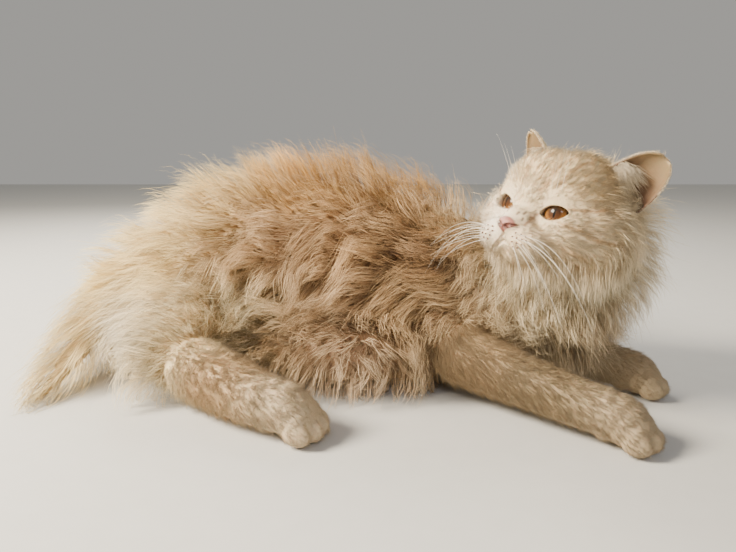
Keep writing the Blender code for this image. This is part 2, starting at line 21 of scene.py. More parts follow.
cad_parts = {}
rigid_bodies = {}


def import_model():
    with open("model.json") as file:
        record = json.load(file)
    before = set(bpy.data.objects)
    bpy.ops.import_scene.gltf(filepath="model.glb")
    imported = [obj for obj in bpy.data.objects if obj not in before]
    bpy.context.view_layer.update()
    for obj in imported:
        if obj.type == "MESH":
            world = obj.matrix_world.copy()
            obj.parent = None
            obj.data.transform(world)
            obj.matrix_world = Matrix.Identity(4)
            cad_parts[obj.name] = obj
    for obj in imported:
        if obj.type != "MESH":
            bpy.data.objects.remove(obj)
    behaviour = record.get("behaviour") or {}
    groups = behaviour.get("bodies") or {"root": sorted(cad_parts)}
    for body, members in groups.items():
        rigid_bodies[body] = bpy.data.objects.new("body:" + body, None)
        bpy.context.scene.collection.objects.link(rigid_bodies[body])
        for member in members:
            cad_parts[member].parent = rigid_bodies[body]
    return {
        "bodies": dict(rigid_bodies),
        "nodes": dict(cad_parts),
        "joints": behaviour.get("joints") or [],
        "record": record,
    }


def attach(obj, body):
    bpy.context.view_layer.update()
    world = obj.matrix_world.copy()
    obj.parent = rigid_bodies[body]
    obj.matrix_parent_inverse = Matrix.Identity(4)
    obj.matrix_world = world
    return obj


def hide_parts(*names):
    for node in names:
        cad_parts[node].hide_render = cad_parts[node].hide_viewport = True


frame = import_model()

LOG = logging.getLogger("cat")
BODY = "root"
SEED = 7

Ball = tuple[Vector, Vector]
Field = Callable[[np.ndarray], np.ndarray]
Zone = Callable[[np.ndarray, np.ndarray], np.ndarray]


class Slot(Enum):
    """The record's material slots."""

    GINGER = "coat_ginger"
    CREAM = "coat_cream"
    SHORT = "short_fur"
    SKIN = "ear_skin"
    EYE = "eye"


class Side(Enum):
    """The cat's left and right, as the sign of X in the head's own frame."""

    LEFT = 1
    RIGHT = -1


def linear(colour: str) -> tuple[float, float, float]:
    """Turns an sRGB hex colour to linear red, green and blue."""
    shares = [int(colour[i : i + 2], 16) / 255 for i in (1, 3, 5)]
    return tuple(c / 12.92 if c <= 0.04045 else ((c + 0.055) / 1.055) ** 2.4 for c in shares)


def add_node(tree: bpy.types.NodeTree, kind: str, feeds: dict | None = None, **settings) -> bpy.types.Node:
    """Adds a node to a tree, with its settings and what feeds its inputs.

    Args:
        tree: The tree that the node joins.
        kind: The node's Blender type.
        feeds: For an input's name or number, the socket to link to it or the value that it holds.
        settings: The node's own settings.

    Returns:
        The node.
    """
    made = tree.nodes.new(kind)
    for name, value in settings.items():
        setattr(made, name, value)
    for name, value in (feeds or {}).items():
        if isinstance(value, bpy.types.NodeSocket):
            tree.links.new(value, made.inputs[name])
        else:
            made.inputs[name].default_value = value
    return made


def new_material(name: str) -> tuple[bpy.types.Material, bpy.types.NodeTree, bpy.types.Node]:
    """Makes a node material.

    Args:
        name: The material's name.

    Returns:
        The material, its tree and its Principled shader.
    """
    made = bpy.data.materials.new(name)
    made.use_nodes = True
    return made, made.node_tree, made.node_tree.nodes["Principled BSDF"]


def link_new(name: str, mesh: bpy.types.Mesh) -> bpy.types.Object:
    """Puts a mesh in the scene as an object of that name."""
    made = bpy.data.objects.new(name, mesh)
    bpy.context.scene.collection.objects.link(made)
    return made


def object_of(name: str, bm: bmesh.types.BMesh) -> bpy.types.Object:
    """Puts a bmesh in the scene as an object, and frees it."""
    mesh = bpy.data.meshes.new(name)
    bm.to_mesh(mesh)
    bm.free()
    return link_new(name, mesh)


def apply_modifiers(obj: bpy.types.Object) -> bpy.types.Object:
    """Gives an object the mesh that its modifiers make, and returns it."""
    bpy.context.view_layer.update()
    seen = obj.evaluated_get(bpy.context.evaluated_depsgraph_get())
    mesh = bpy.data.meshes.new_from_object(seen)
    obj.modifiers.clear()
    obj.data = mesh
    return obj


def blended(name: str, balls: list[Ball], voxel: float, smoothing: int) -> bpy.types.Object:
    """Makes one closed smooth body over overlapping ellipsoids.

    Args:
        name: The object's name.
        balls: The centre and half sizes of each ellipsoid.
        voxel: The size of the grid that they are fused on.
        smoothing: How many times the fused body is smoothed.

    Returns:
        The fused object.
    """
    bm = bmesh.new()
    for centre, half in balls:
        place = Matrix.Translation(centre) @ Matrix.Diagonal((*half, 1.0))
        bmesh.ops.create_icosphere(bm, subdivisions=3, radius=1.0, matrix=place)
    body = object_of(name, bm)
    remesh = body.modifiers.new("Remesh", "REMESH")
    remesh.mode = "VOXEL"
    remesh.voxel_size = voxel
    smooth = body.modifiers.new("Smooth", "SMOOTH")
    smooth.factor = 0.5
    smooth.iterations = smoothing
    return apply_modifiers(body)


def combine(obj: bpy.types.Object, others: list[bpy.types.Object], operation: str) -> bpy.types.Object:
    """Applies one Boolean of closed meshes to an object, and removes them.

    Args:
        obj: The object that is changed.
        others: The closed objects that are joined to it or cut from it.
        operation: UNION or DIFFERENCE.

    Returns:
        The changed object.
    """
    group = bpy.data.collections.new("operands")
    bpy.context.scene.collection.children.link(group)
    for other in others:
        for home in list(other.users_collection):
            home.objects.unlink(other)
        group.objects.link(other)
    boolean = obj.modifiers.new("Boolean", "BOOLEAN")
    boolean.operation = operation
    boolean.solver = "MANIFOLD"
    boolean.operand_type = "COLLECTION"
    boolean.collection = group
    apply_modifiers(obj)
    for other in others:
        bpy.data.objects.remove(other)
    bpy.data.collections.remove(group)
    return obj


def between(stations: list[tuple], step: float) -> list[tuple]:
    """Fills in stations evenly, so that balls on them overlap closely.

    Args:
        stations: Tuples of vectors and numbers, a place first.
        step: About how far apart the filled stations stand.

    Returns:
        The stations with those between them.
    """
    filled = []
    for here, there in zip(stations, stations[1:]):
        count = max(1, round((there[0] - here[0]).length / step))
        for i in range(count):
            filled.append(tuple(a + (b - a) * (i / count) for a, b in zip(here, there)))
    return filled + [stations[-1]]


def round_balls(stations: list[tuple[Vector, float]], less: float = 0.0) -> list[Ball]:
    """Makes round balls over stations of a place and a radius, each less by a depth of fur."""
    balls = []
    for centre, radius in between(stations, 0.006):
        reach = max(0.0015, radius - less)
        balls.append((centre, Vector((reach, reach, reach))))
    return balls


def unit(vectors: np.ndarray) -> np.ndarray:
    """Scales vectors to a length of one."""
    length = np.linalg.norm(vectors, axis=-1, keepdims=True)
    return vectors / np.maximum(length, 1e-9)


def along(normals: np.ndarray, directions: np.ndarray) -> np.ndarray:
    """Finds the part of each direction that runs along a surface, at a length of one."""
    flat = directions - normals * (directions * normals).sum(-1, keepdims=True)
    return unit(flat + np.cross(normals, (0.013, 0.007, 0.003)))


def turned(vectors: np.ndarray, axes: np.ndarray, angles: np.ndarray) -> np.ndarray:
    """Turns vectors that lie across their axes by angles about them."""
    return vectors * np.cos(angles)[..., None] + np.cross(axes, vectors) * np.sin(angles)[..., None]


def moved(matrix: Matrix, points: np.ndarray) -> np.ndarray:
    """Takes points through a matrix."""
    full = np.array(matrix)
    return points @ full[:3, :3].T + full[:3, 3]


def distance_to_path(points: np.ndarray, path: list[Vector]) -> np.ndarray:
    """Finds how far points are from a path of straight lines."""
    nearest = np.full(len(points), 1.0)
    for start, end in zip(path, path[1:]):
        ahead = np.array(end - start)
        share = np.clip((points - np.array(start)) @ ahead / max(1e-12, ahead @ ahead), 0.0, 1.0)
        gap = np.linalg.norm(points - np.array(start) - share[:, None] * ahead, axis=1)
        nearest = np.minimum(nearest, gap)
    return nearest


def vertex_arrays(mesh: bpy.types.Mesh) -> tuple[np.ndarray, np.ndarray]:
    """Reads a mesh's vertex places and normals."""
    places = np.empty(len(mesh.vertices) * 3)
    mesh.vertices.foreach_get("co", places)
    normals = np.empty(len(mesh.vertices) * 3)
    mesh.vertex_normals.foreach_get("vector", normals)
    return places.reshape(-1, 3), normals.reshape(-1, 3)


def place_vertices(mesh: bpy.types.Mesh, places: np.ndarray) -> None:
    """Moves a mesh's vertices to new places."""
    mesh.vertices.foreach_set("co", places.astype(np.float32).ravel())
    mesh.update()


def laid_on(obj: bpy.types.Object, path: list[Vector]) -> list[Vector]:
    """Lays a path on an object's surface, with closer points."""
    bm = bmesh.new()
    bm.from_mesh(obj.data)
    tree = BVHTree.FromBMesh(bm)
    bm.free()
    closer = between([(point,) for point in path], 0.0012)
    return [tree.find_nearest(point)[0] for (point,) in closer]


def refine(obj: bpy.types.Object, centre: Vector, radius: float) -> None:
    """Halves the edges of an object's mesh about a place."""
    bm = bmesh.new()
    bm.from_mesh(obj.data)
    near = [
        edge for edge in bm.edges if max((vertex.co - centre).length for vertex in edge.verts) < radius
    ]
    bmesh.ops.subdivide_edges(bm, edges=near, cuts=1, use_grid_fill=True)
    bm.to_mesh(obj.data)
    bm.free()


def press(obj: bpy.types.Object, path: list[Vector], width: float, depth: float) -> None:
    """Presses a groove into an object along a path, or raises a ridge where the depth is under 0.

    Args:
        obj: The object to press.
        path: The groove's line, in the object's frame.
        width: How far to each side the groove reaches.
        depth: How deep it is at its middle.
    """
    places, normals = vertex_arrays(obj.data)
    share = np.minimum(distance_to_path(places, path) / width, 1.0)
    fall = np.cos(share * math.pi / 2) ** 2
    place_vertices(obj.data, places - normals * (depth * fall)[:, None])


def ride_as(piece: bpy.types.Object, slot: Slot, look: bpy.types.Material) -> bpy.types.Object:
    """Dresses a finished piece, lets it ride on the body, and reports it.

    Args:
        piece: The piece, in its place.
        slot: The record's slot for the piece; not used.
        look: Its material.

    Returns:
        The piece.
    """
    piece.data.materials.clear()
    piece.data.materials.append(look)
    piece.data.shade_smooth()
    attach(piece, BODY)
    triangles = sum(len(face.vertices) - 2 for face in piece.data.polygons)
    LOG.info("%s: %d triangles, %s", piece.name, triangles, look.name)
    return piece


# Finishes


@dataclass(frozen=True)
class SkinFinish:
    """Cat skin, warm pink and softly lit from inside, with the flat undercoat on it as a fine nap."""

    roughness: float = 0.62
    leather_roughness: float = 0.42
    nap_spacing: float = 0.0007
    nap_depth: float = 0.0004

    def make(self) -> bpy.types.Material:
        """Makes the material."""
        material, tree, shader = new_material("cat skin with undercoat")
        colour = add_node(tree, "ShaderNodeAttribute", attribute_name="Marking")
        bare = add_node(tree, "ShaderNodeAttribute", attribute_name="Bare")
        place = add_node(tree, "ShaderNodeTexCoord")
        # The undercoat's hairs stand about 0.1 mm apart, too fine to show, so the nap is drawn at 0.7 mm
        nap = add_node(
            tree,
            "ShaderNodeTexNoise",
            {"Vector": place.outputs["Object"], "Scale": 1 / self.nap_spacing, "Detail": 3.0, "Roughness": 0.65},
        )
        shade = add_node(
            tree,
            "ShaderNodeMapRange",
            {"Value": nap.outputs["Fac"], "From Min": 0.3, "From Max": 0.7, "To Min": 0.88, "To Max": 1.1},
        )
        scaled = add_node(
            tree,
            "ShaderNodeVectorMath",
            {0: colour.outputs["Color"], "Scale": shade.outputs["Result"]},
            operation="SCALE",
        )
        # Nose leather and lips are moist and pebbled, with grains of about 0.8 mm
        grain = add_node(
            tree, "ShaderNodeTexVoronoi", {"Vector": place.outputs["Object"], "Scale": 1 / 0.0008}
        )
        height = add_node(
            tree,
            "ShaderNodeMix",
            {0: bare.outputs["Fac"], 2: nap.outputs["Fac"], 3: grain.outputs["Distance"]},
        )
        bump = add_node(
            tree,
            "ShaderNodeBump",
            {"Height": height.outputs[0], "Strength": 0.35, "Distance": self.nap_depth},
        )
        rough = add_node(
            tree,
            "ShaderNodeMapRange",
            {"Value": bare.outputs["Fac"], "To Min": self.roughness, "To Max": self.leather_roughness},
        )
        tree.links.new(scaled.outputs["Vector"], shader.inputs["Base Color"])
        tree.links.new(rough.outputs["Result"], shader.inputs["Roughness"])
        tree.links.new(bump.outputs["Normal"], shader.inputs["Normal"])
        shader.inputs["Subsurface Weight"].default_value = 0.12
        shader.inputs["Subsurface Scale"].default_value = 0.0012
        shader.inputs["IOR"].default_value = 1.4
        return material


@dataclass(frozen=True)
class CoatFinish:
    """Long cat hair: keratin with a soft gloss along it, the colour held in the hair, darker near the skin and
    paler at the tip, partly as painted shade and painted highlight.
    """

    roughness: float = 0.58
    streak: float = 0.0011

    def make(self) -> bpy.types.Material:
        """Makes the material."""
        material, tree, shader = new_material("cat hair keratin")
        colour = add_node(tree, "ShaderNodeAttribute", attribute_name="Hair")
        place = add_node(tree, "ShaderNodeTexCoord")
        fleck = add_node(
            tree,
            "ShaderNodeTexNoise",
            {"Vector": place.outputs["Object"], "Scale": 1 / self.streak, "Detail": 1.0},
        )
        shade = add_node(
            tree,
            "ShaderNodeMapRange",
            {"Value": fleck.outputs["Fac"], "From Min": 0.3, "From Max": 0.7, "To Min": 0.93, "To Max": 1.06},
        )
        scaled = add_node(
            tree,
            "ShaderNodeVectorMath",
            {0: colour.outputs["Color"], "Scale": shade.outputs["Result"]},
            operation="SCALE",
        )
        tree.links.new(scaled.outputs["Vector"], shader.inputs["Base Color"])
        shader.inputs["Roughness"].default_value = self.roughness
        shader.inputs["IOR"].default_value = 1.55
        shader.inputs["Specular IOR Level"].default_value = 0.22
        shader.inputs["Sheen Weight"].default_value = 0.04
        shader.inputs["Sheen Roughness"].default_value = 0.45
        return material


@dataclass(frozen=True)
class WhiskerFinish:
    """A whisker: stiff white keratin, smooth and slightly clear."""

    colour: str = "#f6f1e6"

    def make(self) -> bpy.types.Material:
        """Makes the material."""
        material, tree, shader = new_material("whisker keratin")
        place = add_node(tree, "ShaderNodeTexCoord")
        band = add_node(tree, "ShaderNodeTexNoise", {"Vector": place.outputs["Object"], "Scale": 180.0})
        mix = add_node(
            tree,
            "ShaderNodeMix",
            {0: band.outputs["Fac"], 6: (*linear("#e9e0cd"), 1.0), 7: (*linear(self.colour), 1.0)},
            data_type="RGBA",
        )
        tree.links.new(mix.outputs[2], shader.inputs["Base Color"])
        shader.inputs["Roughness"].default_value = 0.32
        shader.inputs["IOR"].default_value = 1.55
        return material


@dataclass(frozen=True)
class EyeFinish:
    """A cat's eye: an amber iris with radial fibres under a wet clear cornea, and a dark upright pupil."""

    iris_outer: str = "#3c2210"
    iris_middle: str = "#855a2b"
    iris_inner: str = "#50311a"
    rim: str = "#160b06"

    def make(self) -> bpy.types.Material:
        """Makes the material, which reads the eye's own map of places across the iris."""
        material, tree, shader = new_material("amber cat eye")
        gaze = add_node(tree, "ShaderNodeAttribute", attribute_name="Gaze")
        parts = add_node(tree, "ShaderNodeSeparateXYZ", {"Vector": gaze.outputs["Vector"]})
        across = add_node(
            tree, "ShaderNodeMath", {0: parts.outputs["X"], 1: parts.outputs["X"]}, operation="MULTIPLY"
        )
        upward = add_node(
            tree, "ShaderNodeMath", {0: parts.outputs["Y"], 1: parts.outputs["Y"]}, operation="MULTIPLY"
        )
        squares = {0: across.outputs[0], 1: upward.outputs[0]}
        square = add_node(tree, "ShaderNodeMath", squares, operation="ADD")
        radius = add_node(tree, "ShaderNodeMath", {0: square.outputs[0]}, operation="SQRT")
        ramp = add_node(tree, "ShaderNodeValToRGB", {"Fac": radius.outputs[0]})
        stops = [
            (0.00, self.iris_inner),
            (0.42, self.iris_inner),
            (0.62, self.iris_middle),
            (0.78, self.iris_middle),
            (0.88, self.iris_outer),
            (0.94, self.rim),
            (1.00, self.rim),
        ]
        elements = ramp.color_ramp.elements
        while len(elements) < len(stops):
            elements.new(0.5)
        for element, (spot, colour) in zip(elements, stops):
            element.position = spot
            element.color = (*linear(colour), 1.0)
        turn = add_node(
            tree, "ShaderNodeMath", {0: parts.outputs["Y"], 1: parts.outputs["X"]}, operation="ARCTAN2"
        )
        spoke = add_node(
            tree,
            "ShaderNodeCombineXYZ",
            {"X": turn.outputs[0], "Y": radius.outputs[0]},
        )
        fibre = add_node(
            tree,
            "ShaderNodeTexNoise",
            {"Vector": spoke.outputs[0], "Scale": 9.0, "Detail": 3.0, "Distortion": 0.3},
        )
        bright = add_node(
            tree,
            "ShaderNodeMapRange",
            {"Value": fibre.outputs["Fac"], "From Min": 0.3, "From Max": 0.7, "To Min": 0.62, "To Max": 1.4},
        )
        fibred = add_node(
            tree,
            "ShaderNodeVectorMath",
            {0: ramp.outputs["Color"], "Scale": bright.outputs["Result"]},
            operation="SCALE",
        )
        # Painted light and shade: the lower half of the iris is painted brighter, as a real iris is lit there
        # through the cornea, and the upper half darker, as painted shadow of the lid
        glow = add_node(
            tree,
            "ShaderNodeMapRange",
            {"Value": parts.outputs["Y"], "From Min": -0.50, "From Max": 0.32, "To Min": 1.35, "To Max": 0.26},
        )
        lit = add_node(
            tree,
            "ShaderNodeVectorMath",
            {0: fibred.outputs["Vector"], "Scale": glow.outputs["Result"]},
            operation="SCALE",
        )
        slim = add_node(tree, "ShaderNodeMath", {0: parts.outputs["X"], 1: 4.6}, operation="MULTIPLY")
        both = {0: slim.outputs[0], 1: slim.outputs[0]}
        narrow = add_node(tree, "ShaderNodeMath", both, operation="MULTIPLY")
        reach = {0: narrow.outputs[0], 1: upward.outputs[0]}
        oval = add_node(tree, "ShaderNodeMath", reach, operation="ADD")
        pupil = add_node(
            tree,
            "ShaderNodeMapRange",
            {"Value": oval.outputs[0], "From Min": 0.09, "From Max": 0.22},
        )
        seen = add_node(
            tree,
            "ShaderNodeMix",
            {0: pupil.outputs["Result"], 6: (*linear("#050303"), 1.0), 7: lit.outputs["Vector"]},
            data_type="RGBA",
        )
        tree.links.new(seen.outputs[2], shader.inputs["Base Color"])
        shader.inputs["Roughness"].default_value = 0.5
        shader.inputs["Specular IOR Level"].default_value = 0.1
        shader.inputs["Coat Weight"].default_value = 0.75
        shader.inputs["Coat Roughness"].default_value = 0.04
        shader.inputs["Coat IOR"].default_value = 1.31
        return material


@dataclass(frozen=True)
class LidFinish:
    """The bare margin of the lids: thin dark brown skin, wet at the eye."""

    colour: str = "#5d3b2e"

    def make(self) -> bpy.types.Material:
        """Makes the material."""
        material, tree, shader = new_material("lid margin")
        place = add_node(tree, "ShaderNodeTexCoord")
        patch = add_node(tree, "ShaderNodeTexNoise", {"Vector": place.outputs["Object"], "Scale": 600.0})
        mix = add_node(
            tree,
            "ShaderNodeMix",
            {0: patch.outputs["Fac"], 6: (*linear(self.colour), 1.0), 7: (*linear("#8a6250"), 1.0)},
            data_type="RGBA",
        )
        tree.links.new(mix.outputs[2], shader.inputs["Base Color"])
        shader.inputs["Roughness"].default_value = 0.28
        return material


# The body under the coat


@dataclass(frozen=True)
class Station:
    """A cross-section of the flesh: its centre and its half sizes."""

    centre: tuple[float, float, float]
    half: tuple[float, float, float]

    def ball(self) -> Ball:
        """Gives the flesh as an ellipsoid."""
        return Vector(self.centre), Vector(self.half)


@dataclass
class Trunk:
    """The trunk, belly, haunches, neck and chest, as flesh without the coat."""

    back: list[Station] = field(
        default_factory=lambda: [
            Station((-0.178, 0.056, 0.050), (0.036, 0.044, 0.034)),
            Station((-0.150, 0.054, 0.062), (0.030, 0.056, 0.044)),
            Station((-0.116, 0.050, 0.076), (0.028, 0.063, 0.056)),
            Station((-0.072, 0.040, 0.084), (0.035, 0.068, 0.068)),
            Station((0.000, 0.022, 0.084), (0.045, 0.070, 0.074)),
            Station((0.060, 0.009, 0.081), (0.040, 0.063, 0.066)),
            Station((0.105, -0.006, 0.076), (0.035, 0.053, 0.058)),
        ]
    )
    belly: list[Station] = field(
        default_factory=lambda: [
            Station((-0.080, 0.034, 0.034), (0.055, 0.078, 0.032)),
            Station((0.012, 0.012, 0.032), (0.060, 0.094, 0.036)),
            Station((0.066, 0.002, 0.032), (0.048, 0.072, 0.036)),
        ]
    )
    haunches: list[Station] = field(
        default_factory=lambda: [
            Station((-0.104, -0.004, 0.062), (0.054, 0.034, 0.050)),
            Station((-0.098, 0.098, 0.058), (0.054, 0.034, 0.048)),
            Station((-0.156, -0.002, 0.040), (0.026, 0.026, 0.034)),
            Station((-0.156, 0.094, 0.038), (0.026, 0.026, 0.034)),
        ]
    )
    neck: list[Station] = field(
        default_factory=lambda: [
            Station((0.134, -0.026, 0.062), (0.050, 0.052, 0.056)),
            Station((0.172, -0.038, 0.072), (0.050, 0.048, 0.054)),
            Station((0.189, -0.048, 0.100), (0.046, 0.042, 0.046)),
            Station((0.198, -0.057, 0.128), (0.040, 0.034, 0.034)),
        ]
    )
    voxel: float = 0.0042

    def balls(self) -> list[Ball]:
        """Gives every ellipsoid of the flesh."""
        found = [station.ball() for station in self.haunches]
        for chain in (self.back, self.belly, self.neck):
            found += between([station.ball() for station in chain], 0.012)
        return found

    def build(self) -> bpy.types.Object:
        """Builds the flesh as one closed body."""
        return blended("trunk", self.balls(), self.voxel, 6)


@dataclass
class Tail:
    """The tail's flesh, laid down along the rump to the floor: place, radius and coat."""

    stations: list[tuple[Vector, float, float]] = field(
        default_factory=lambda: [
            (Vector((-0.172, 0.056, 0.078)), 0.018, 0.018),
            (Vector((-0.197, 0.044, 0.068)), 0.013, 0.025),
            (Vector((-0.207, 0.018, 0.051)), 0.011, 0.027),
            (Vector((-0.212, -0.012, 0.033)), 0.010, 0.026),
            (Vector((-0.215, -0.040, 0.021)), 0.008, 0.020),
            (Vector((-0.217, -0.066, 0.012)), 0.005, 0.012),
            (Vector((-0.219, -0.086, 0.006)), 0.0025, 0.006),
        ]
    )

    def balls(self) -> list[Ball]:
        """Gives the balls of the flesh."""
        return round_balls([(place, radius) for place, radius, _ in self.stations])

    def strokes(self) -> list["Stroke"]:
        """Gives how the tail's coat lies: along it to the point, and out from it."""
        found = []
        for (place, _, coat), (ahead, _, _) in zip(self.stations, self.stations[1:]):
            way = (ahead - place).normalized() + Vector((-0.25, 0.0, -0.20))
            found.append(Stroke(tuple(place), tuple(way), 0.034 + coat, coat * 0.9, 0.06, 0.15))
        return found

    def build(self) -> bpy.types.Object:
        """Builds the tail as a closed body."""
        return blended("tail flesh", self.balls(), 0.0020, 4)


@dataclass
class Limb:
    """A leg and its paw: stations with the short fur counted in, where the paw points, and its size."""

    name: str
    stations: list[tuple[Vector, float]]
    heading: float
    size: float
    shaggy: float
    fur: float = 0.0030
    paw_fur: float = 0.0014
    paw_length: float = 0.0295
    paw_half_width: float = 0.0200
    paw_height: float = 0.034
    toe_radius: float = 0.0095
    toe_spread: float = 0.0094

    def balls(self) -> list[Ball]:
        """Gives the balls of the leg."""
        return round_balls(self.stations, self.fur)

    def paw_matrix(self) -> Matrix:
        """Gives the paw's own frame, with X ahead along the toes."""
        wrist, _ = self.stations[-1]
        ground = Vector((wrist.x, wrist.y, 0.0))
        return Matrix.Translation(ground) @ Matrix.Rotation(self.heading, 4, "Z") @ Matrix.Scale(self.size, 4)

    def paw_balls(self) -> list[Ball]:
        """Gives the balls of the paw in its own frame, four toes last."""
        rise = self.paw_height / 2
        width = self.paw_half_width
        balls = [
            (Vector((-0.006, 0, rise + 0.003)), Vector((0.014, 0.0165, rise + 0.002))),
            (Vector((0.006, 0, rise)), Vector((0.016, width - 0.002, rise))),
            (Vector((0.013, 0, rise - 0.003)), Vector((0.012, width - 0.001, rise - 0.004))),
        ]
        for toe in (-1.5, -0.5, 0.5, 1.5):
            ahead = self.paw_length - 0.0028 * abs(toe) ** 1.6
            reach = self.toe_radius * (1.0 - 0.05 * abs(toe))
            centre = Vector((ahead - reach, toe * self.toe_spread, self.toe_radius * 0.92))
            balls.append((centre, Vector((reach * 1.25, reach * 0.66, reach))))
        less = Vector((1, 1, 1)) * self.paw_fur
        return [(centre, half - less) for centre, half in balls]

    def share_at(self, points: np.ndarray) -> tuple[np.ndarray, np.ndarray]:
        """Finds how far along the leg points are, from 0 to 1, and which way the leg runs there."""
        best = np.full(len(points), 9.0)
        share = np.zeros(len(points))
        way = np.zeros((len(points), 3))
        count = len(self.stations) - 1
        for number, ((start, _), (end, _)) in enumerate(zip(self.stations, self.stations[1:])):
            ahead = np.array(end - start)
            part = np.clip((points - np.array(start)) @ ahead / (ahead @ ahead), 0.0, 1.0)
            gap = np.linalg.norm(points - np.array(start) - part[:, None] * ahead, axis=1)
            nearer = gap < best
            best = np.where(nearer, gap, best)
            share = np.where(nearer, (number + part) / count, share)
            way = np.where(nearer[:, None], unit(ahead[None]), way)
        return share, way

    def lie(self, points: np.ndarray) -> np.ndarray:
        """Gives which way the leg's fur lies: towards the paw, and a little down."""
        _, way = self.share_at(points)
        return way + np.array((0.0, 0.0, -0.45))

    def fur_length(self, points: np.ndarray) -> np.ndarray:
        """Gives the length of the leg's fur, less towards the paw."""
        share, _ = self.share_at(points)
        return 0.0130 - 0.0070 * share

    def paw_lie(self, points: np.ndarray) -> np.ndarray:
        """Gives which way the paw's fur lies: ahead over the toes, and down their front."""
        ahead = np.array(self.paw_matrix().to_3x3() @ Vector((1, 0, 0)))
        return np.tile(ahead, (len(points), 1)) + np.array((0.0, 0.0, -0.35))

    def paw_fur_length(self, points: np.ndarray) -> np.ndarray:
        """Gives the length of the paw's fur, least at the toes."""
        local = moved(self.paw_matrix().inverted(), points)
        return np.interp(local[:, 0], (-0.005, 0.024), (0.0062, 0.0036))

    def build(self) -> list[bpy.types.Object]:
        """Builds the leg and the paw as two closed bodies that overlap."""
        leg = blended(self.name, self.balls(), 0.0022, 4)
        paw = blended(self.name + " paw", self.paw_balls(), 0.0014, 3)
        paw.data.transform(self.paw_matrix())
        return [leg, paw]


def limbs() -> list[Limb]:
    """Gives the four limbs."""
    return [
        Limb(
            "foreleg_right",
            [
                (Vector((0.092, -0.046, 0.050)), 0.030),
                (Vector((0.106, -0.072, 0.034)), 0.026),
                (Vector((0.140, -0.106, 0.027)), 0.0215),
                (Vector((0.170, -0.136, 0.023)), 0.0195),
                (Vector((0.192, -0.1525, 0.020)), 0.0188),
            ],
            math.radians(-31),
            1.00,
            0.16,
        ),
        Limb(
            "foreleg_left",
            [
                (Vector((0.158, -0.010, 0.048)), 0.028),
                (Vector((0.182, -0.030, 0.034)), 0.024),
                (Vector((0.208, -0.050, 0.026)), 0.0200),
                (Vector((0.226, -0.060, 0.022)), 0.0185),
                (Vector((0.238, -0.064, 0.020)), 0.0180),
            ],
            math.radians(-20),
            0.97,
            0.25,
        ),
        Limb(
            "hindleg_right",
            [
                (Vector((-0.112, -0.040, 0.046)), 0.029),
                (Vector((-0.122, -0.060, 0.032)), 0.0265),
                (Vector((-0.096, -0.088, 0.027)), 0.0255),
                (Vector((-0.062, -0.118, 0.024)), 0.0230),
                (Vector((-0.042, -0.132, 0.022)), 0.0212),
                (Vector((-0.0266, -0.1396, 0.021)), 0.0205),
            ],
            math.radians(-20),
            1.06,
            0.34,
        ),
        Limb(
            "hindleg_left",
            [
                (Vector((-0.108, 0.132, 0.046)), 0.029),
                (Vector((-0.112, 0.150, 0.032)), 0.0265),
                (Vector((-0.078, 0.162, 0.027)), 0.0240),
                (Vector((-0.046, 0.168, 0.023)), 0.0210),
                (Vector((-0.030, 0.170, 0.021)), 0.0200),
            ],
            math.radians(6),
            1.04,
            0.25,
        ),
    ]


